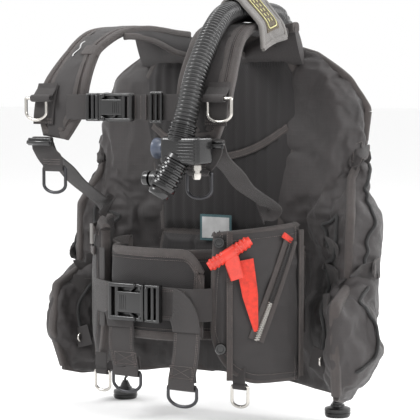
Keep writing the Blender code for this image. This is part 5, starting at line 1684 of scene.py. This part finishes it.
def make_pulls():
    for name, side in SIDES:
        low, high = BOX["dump_valve_" + name]
        centre = (low + high) / 2
        _, out, _ = wing_grid(np.array([0.50 * side]), np.array([0.17]))
        out = -out[0]
        start, end = centre - out * 0.006, centre + out * 0.006
        shells = [turned(start, end, [0.0240, 0.0244, 0.0236, 0.0215, 0.0195, 0.0150, 0.0142, 0.0001],
                         [0, 0.35, 0.7, 0.92, 1.0, 1.0, 0.85, 0.85])]
        for k in range(12):
            a = k * pi / 6
            sideways = unit(np.cross(out, UP))
            up = np.cross(out, sideways)
            spot = start + (cos(a) * sideways + sin(a) * up) * 0.0235 + out * 0.004
            shells.append(turned(spot - out * 0.004, spot + out * 0.004, [0.0016, 0.0018, 0.0014], sides=8))
        piece("valve_cover_" + name, shells, "gloss", stands_for=["dump_valve_" + name])
        knob_low, knob_high = BOX["pull_knob_" + name]
        x, y = (knob_low[0] + knob_high[0]) / 2, (knob_low[1] + knob_high[1]) / 2
        top = knob_high[2]
        profile = [(0, 0.0001), (0, 0.0050), (0.12, 0.0058), (0.14, 0.0072), (0.22, 0.0072), (0.24, 0.0086),
                   (0.33, 0.0086), (0.35, 0.0108), (0.45, 0.0115), (0.52, 0.0180), (0.56, 0.0203),
                   (0.70, 0.0206),
                   (0.72, 0.0196), (0.76, 0.0196), (0.78, 0.0206), (0.92, 0.0200), (1.0, 0.0186),
                   (1.0, 0.0001)]
        where, radii = zip(*profile)
        knob = piece("knob_" + name, [turned((x, y, top), (x, y, knob_low[2]), radii, where)], "plastic",
                     f"pull_knob_{name}_body", ["pull_knob_" + name])
        low, high = BOX["pull_cord_" + name]
        start = np.array([centre[0], centre[1], high[2]])
        path = spline([start - out * 0.001, (start[0] * 0.99, start[1] * 0.9, start[2] - 0.025),
                       (x, y + 0.020, WING_BOTTOM * 1.055 - 0.001), (x, y, top + 0.004),
                       (x, y, top + 0.0006)], 60)
        cord = piece("pull_line_" + name, [sweep(path, 0.0020, 0.0020, across=(1, 0, 0), sides=10)], "cord",
                     stands_for=["pull_cord_" + name])


# Tank side

def make_tank_side():
    s = sizes()
    for node, web in (("tank_band", s.web), ("positioning_strap", 0.002)):
        low, high = BOX[node]
        centre = (low + high) / 2
        ring = (high[0] - low[0]) / 2 - web / 2
        a = np.linspace(0, 2 * pi, 161)[:-1]
        path = np.stack([ring * np.sin(a), centre[1] - ring * np.cos(a), np.full(160, centre[2])], axis=1)
        piece(node + "_webbing",
              [sweep(path, (high[2] - low[2]) / 2, web / 2, across=UP, power=7, sides=26, loop=True)],
              "webbing", stands_for=[node])
    low, high = BOX["cam_buckle_base"]
    parts = [(low, (high[0], high[1], low[2] + 0.005)), ((low[0], low[1], high[2] - 0.005), high)]
    for share in (0.0, 0.24, 0.62, 0.93):
        at = low[0] + share * (high[0] - low[0])
        parts.append(((at, low[1], low[2] + 0.001), (at + 0.0056, high[1], high[2] - 0.001)))
    piece("cam_frame", bars(parts, 0.0015), "plastic", stands_for=["cam_buckle_base"])
    low, high = BOX["cam_lever"]
    z0, z1 = low[2], high[2]
    parts = [((low[0], high[1] - 0.0065, z0), (high[0] - 0.006, high[1], z1))]
    for k in range(5):
        at = low[0] + 0.006 + k * 0.006
        parts.append(((at, high[1] - 0.001, z0 + 0.006), (at + 0.0025, high[1] + 0.0012, z1 - 0.006)))
    shells = bars(parts, 0.002)
    hinge = np.array(frame_joint("cam_lever_swing"))
    shells.append(turned(hinge + (0, 0, -0.026), hinge + (0, 0, 0.026), [0.0056] * 4))
    piece("cam_handle", shells, "plastic", "cam_lever_body", ["cam_lever"])
    grip = spline([(-0.048, 0.001, 0.243), (-0.044, 0.022, 0.250), (-0.020, 0.032, 0.254),
                   (0.020, 0.032, 0.254),
                   (0.044, 0.022, 0.250), (0.048, 0.001, 0.243)], 90)
    thick = 0.0050 + 0.0016 * np.exp(-(np.linspace(-1, 1, 90) / 0.5) ** 4)
    piece("handle_webbing", [sweep(grip, thick * 1.2, thick, across=UP, power=2.6, sides=20)], "webbing",
          stands_for=["carry_handle"])
    low, high = BOX["tank_pad"]
    shells = [round_box(low, high, 0.003)]
    for k in range(9):
        z = low[2] + 0.010 + k * 0.0122
        shells.append(round_box((low[0] + 0.006, high[1] - 0.002, z),
                                (high[0] - 0.006, high[1] + 0.0006, z + 0.005),
                                0.0012, 6))
    piece("tank_rest", shells, "hose", stands_for=["tank_pad"])
    plate = frame["nodes"]["back_plate"]
    plate.data.materials.clear()
    plate.data.materials.append(FINISHES["plastic"])


# Stage

def make_stage():
    """A pale floor, soft lights and a camera."""
    bottom = CAD_BOX[0][2] - 0.0005
    rows = np.array([[(x, y, bottom) for x in (-60.0, 60.0)] for y in (-60.0, 60.0)])
    points, quads, _ = shell(rows)
    data = bpy.data.meshes.new("floor")
    data.from_pydata(points.tolist(), [], [tuple(int(v) for v in quad[::-1]) for quad in quads])
    floor = bpy.data.objects.new("floor", data)
    bpy.context.scene.collection.objects.link(floor)
    pale = bpy.data.materials.new("pale_floor")
    pale.use_nodes = True
    pale.node_tree.nodes["Principled BSDF"].inputs["Base Color"].default_value = (0.95, 0.95, 0.95, 1)
    pale.node_tree.nodes["Principled BSDF"].inputs["Roughness"].default_value = 0.9
    data.materials.append(pale)
    azimuth, rise, reach = radians(33.0), radians(4.0), 2.6
    target = np.array([0.0, -0.068, 0.0])
    place = target + reach * np.array([sin(azimuth) * cos(rise), -cos(azimuth) * cos(rise), sin(rise)])
    camera = bpy.data.objects.new("camera", bpy.data.cameras.new("camera"))
    camera.data.lens = 139.3
    camera.data.sensor_width = 36.0
    aim(camera, place, target)
    bpy.context.scene.collection.objects.link(camera)
    bpy.context.scene.camera = camera
    for name, where, power, size in (("key", (-1.9, -2.2, 2.4), 86.0, 1.2),
                                     ("fill", (3.0, -1.0, 1.4), 58.0, 1.2),
                                     ("top", (0.4, 0.3, 2.8), 38.0, 1.8),
                                     ("rim", (1.8, 2.4, 1.6), 50.0, 1.4)):
        lamp = bpy.data.objects.new(name, bpy.data.lights.new(name, "AREA"))
        lamp.data.energy = power
        lamp.data.size = size
        aim(lamp, np.array(where), target)
        bpy.context.scene.collection.objects.link(lamp)
    world = bpy.data.worlds.new("studio")
    world.use_nodes = True
    world.node_tree.nodes["Background"].inputs["Color"].default_value = (1.0, 1.0, 1.0, 1.0)
    world.node_tree.nodes["Background"].inputs["Strength"].default_value = 1.0
    bpy.context.scene.world = world
    bpy.context.scene.view_settings.view_transform = "Standard"


def aim(made, place, target):
    made.location = place
    made.rotation_euler = Vector(target - place).to_track_quat("-Z", "Y").to_euler()


# Operators

class VEST_OT_finishes(bpy.types.Operator):
    """Makes the cloth, plastic, rubber and metal finishes"""
    bl_idname = "vest.finishes"
    bl_label = "Finishes"

    def execute(self, context):
        make_finishes()
        return {"FINISHED"}


class VEST_OT_stage(bpy.types.Operator):
    """Makes the floor, the lights and the camera"""
    bl_idname = "vest.stage"
    bl_label = "Stage"

    def execute(self, context):
        make_stage()
        return {"FINISHED"}


class VEST_OT_pulls(bpy.types.Operator):
    """Makes the dump valves with their cords and knobs"""
    bl_idname = "vest.pulls"
    bl_label = "Dump valves"

    def execute(self, context):
        make_pulls()
        return {"FINISHED"}


class VEST_OT_wing(bpy.types.Operator):
    """Makes the wing's creased cloth"""
    bl_idname = "vest.wing"
    bl_label = "Wing"

    def execute(self, context):
        make_wing()
        return {"FINISHED"}


class VEST_OT_wing_trim(bpy.types.Operator):
    """Makes the wing's edge tape, tabs, eyelets and bungees"""
    bl_idname = "vest.wing_trim"
    bl_label = "Wing trim"

    def execute(self, context):
        make_wing_trim()
        make_bungees()
        return {"FINISHED"}


class VEST_OT_back(bpy.types.Operator):
    """Makes the back and lumbar cushions, the collar and the care label"""
    bl_idname = "vest.back"
    bl_label = "Back pads"

    def execute(self, context):
        make_back()
        return {"FINISHED"}


class VEST_OT_shoulders(bpy.types.Operator):
    """Makes the padded shoulder straps and the webbing on them"""
    bl_idname = "vest.shoulders"
    bl_label = "Shoulder straps"

    def execute(self, context):
        make_shoulders()
        make_shoulder_webs()
        return {"FINISHED"}


class VEST_OT_lower_straps(bpy.types.Operator):
    """Makes the lower straps and their ladder locks"""
    bl_idname = "vest.lower_straps"
    bl_label = "Lower straps"

    def execute(self, context):
        make_lower_straps()
        make_ladder_locks()
        return {"FINISHED"}


class VEST_OT_rings(bpy.types.Operator):
    """Makes the wire D-rings"""
    bl_idname = "vest.rings"
    bl_label = "D-rings"

    def execute(self, context):
        make_rings()
        return {"FINISHED"}


class VEST_OT_buckles(bpy.types.Operator):
    """Makes the side-release buckles and the triglide"""
    bl_idname = "vest.buckles"
    bl_label = "Buckles"

    def execute(self, context):
        make_buckles()
        return {"FINISHED"}


class VEST_OT_belts(bpy.types.Operator):
    """Makes the chest and waist webbing with its hanging tails"""
    bl_idname = "vest.belts"
    bl_label = "Webbing"

    def execute(self, context):
        make_chest_strap()
        make_waist_webbing()
        return {"FINISHED"}


class VEST_OT_hose(bpy.types.Operator):
    """Makes the corrugated hose and the band that holds it"""
    bl_idname = "vest.hose"
    bl_label = "Hose"

    def execute(self, context):
        make_hose()
        make_hose_wrap()
        return {"FINISHED"}


class VEST_OT_inflator(bpy.types.Operator):
    """Makes the inflator at the hose's end"""
    bl_idname = "vest.inflator"
    bl_label = "Inflator"

    def execute(self, context):
        make_inflator()
        return {"FINISHED"}


class VEST_OT_waist(bpy.types.Operator):
    """Makes the cummerbund flaps, the weight pockets and the red handle"""
    bl_idname = "vest.waist"
    bl_label = "Waist"

    def execute(self, context):
        make_flaps()
        make_pockets()
        make_handle()
        return {"FINISHED"}


class VEST_OT_tank_side(bpy.types.Operator):
    """Makes the tank band, its cam buckle, the carry handle and the tank rest"""
    bl_idname = "vest.tank_side"
    bl_label = "Tank side"

    def execute(self, context):
        make_tank_side()
        return {"FINISHED"}


STEPS = (VEST_OT_finishes, VEST_OT_stage, VEST_OT_pulls, VEST_OT_wing, VEST_OT_wing_trim, VEST_OT_back,
         VEST_OT_shoulders, VEST_OT_lower_straps, VEST_OT_rings, VEST_OT_buckles, VEST_OT_belts,
         VEST_OT_hose,
         VEST_OT_inflator, VEST_OT_waist, VEST_OT_tank_side)


class VEST_PT_panel(bpy.types.Panel):
    """Sizes, colours and steps of the vest"""
    bl_idname = "VEST_PT_panel"
    bl_label = "Buoyancy vest"
    bl_space_type = "VIEW_3D"
    bl_region_type = "UI"
    bl_category = "Vest"

    def draw(self, context):
        for group in (context.scene.vest_sizes, context.scene.vest_colours):
            for name in group.bl_rna.properties.keys():
                if name not in ("rna_type", "name"):
                    self.layout.prop(group, name)
        for step in STEPS:
            self.layout.operator(step.bl_idname)


CLASSES = (VestSizes, VestColours, *STEPS, VEST_PT_panel)


def register():
    for found in CLASSES:
        bpy.utils.register_class(found)
    bpy.types.Scene.vest_sizes = bpy.props.PointerProperty(type=VestSizes)
    bpy.types.Scene.vest_colours = bpy.props.PointerProperty(type=VestColours)


def unregister():
    del bpy.types.Scene.vest_sizes
    del bpy.types.Scene.vest_colours
    for found in reversed(CLASSES):
        bpy.utils.unregister_class(found)


def main():
    register()
    for step in STEPS:
        group, name = step.bl_idname.split(".")
        getattr(getattr(bpy.ops, group), name)()


if __name__ == "__main__":
    main()
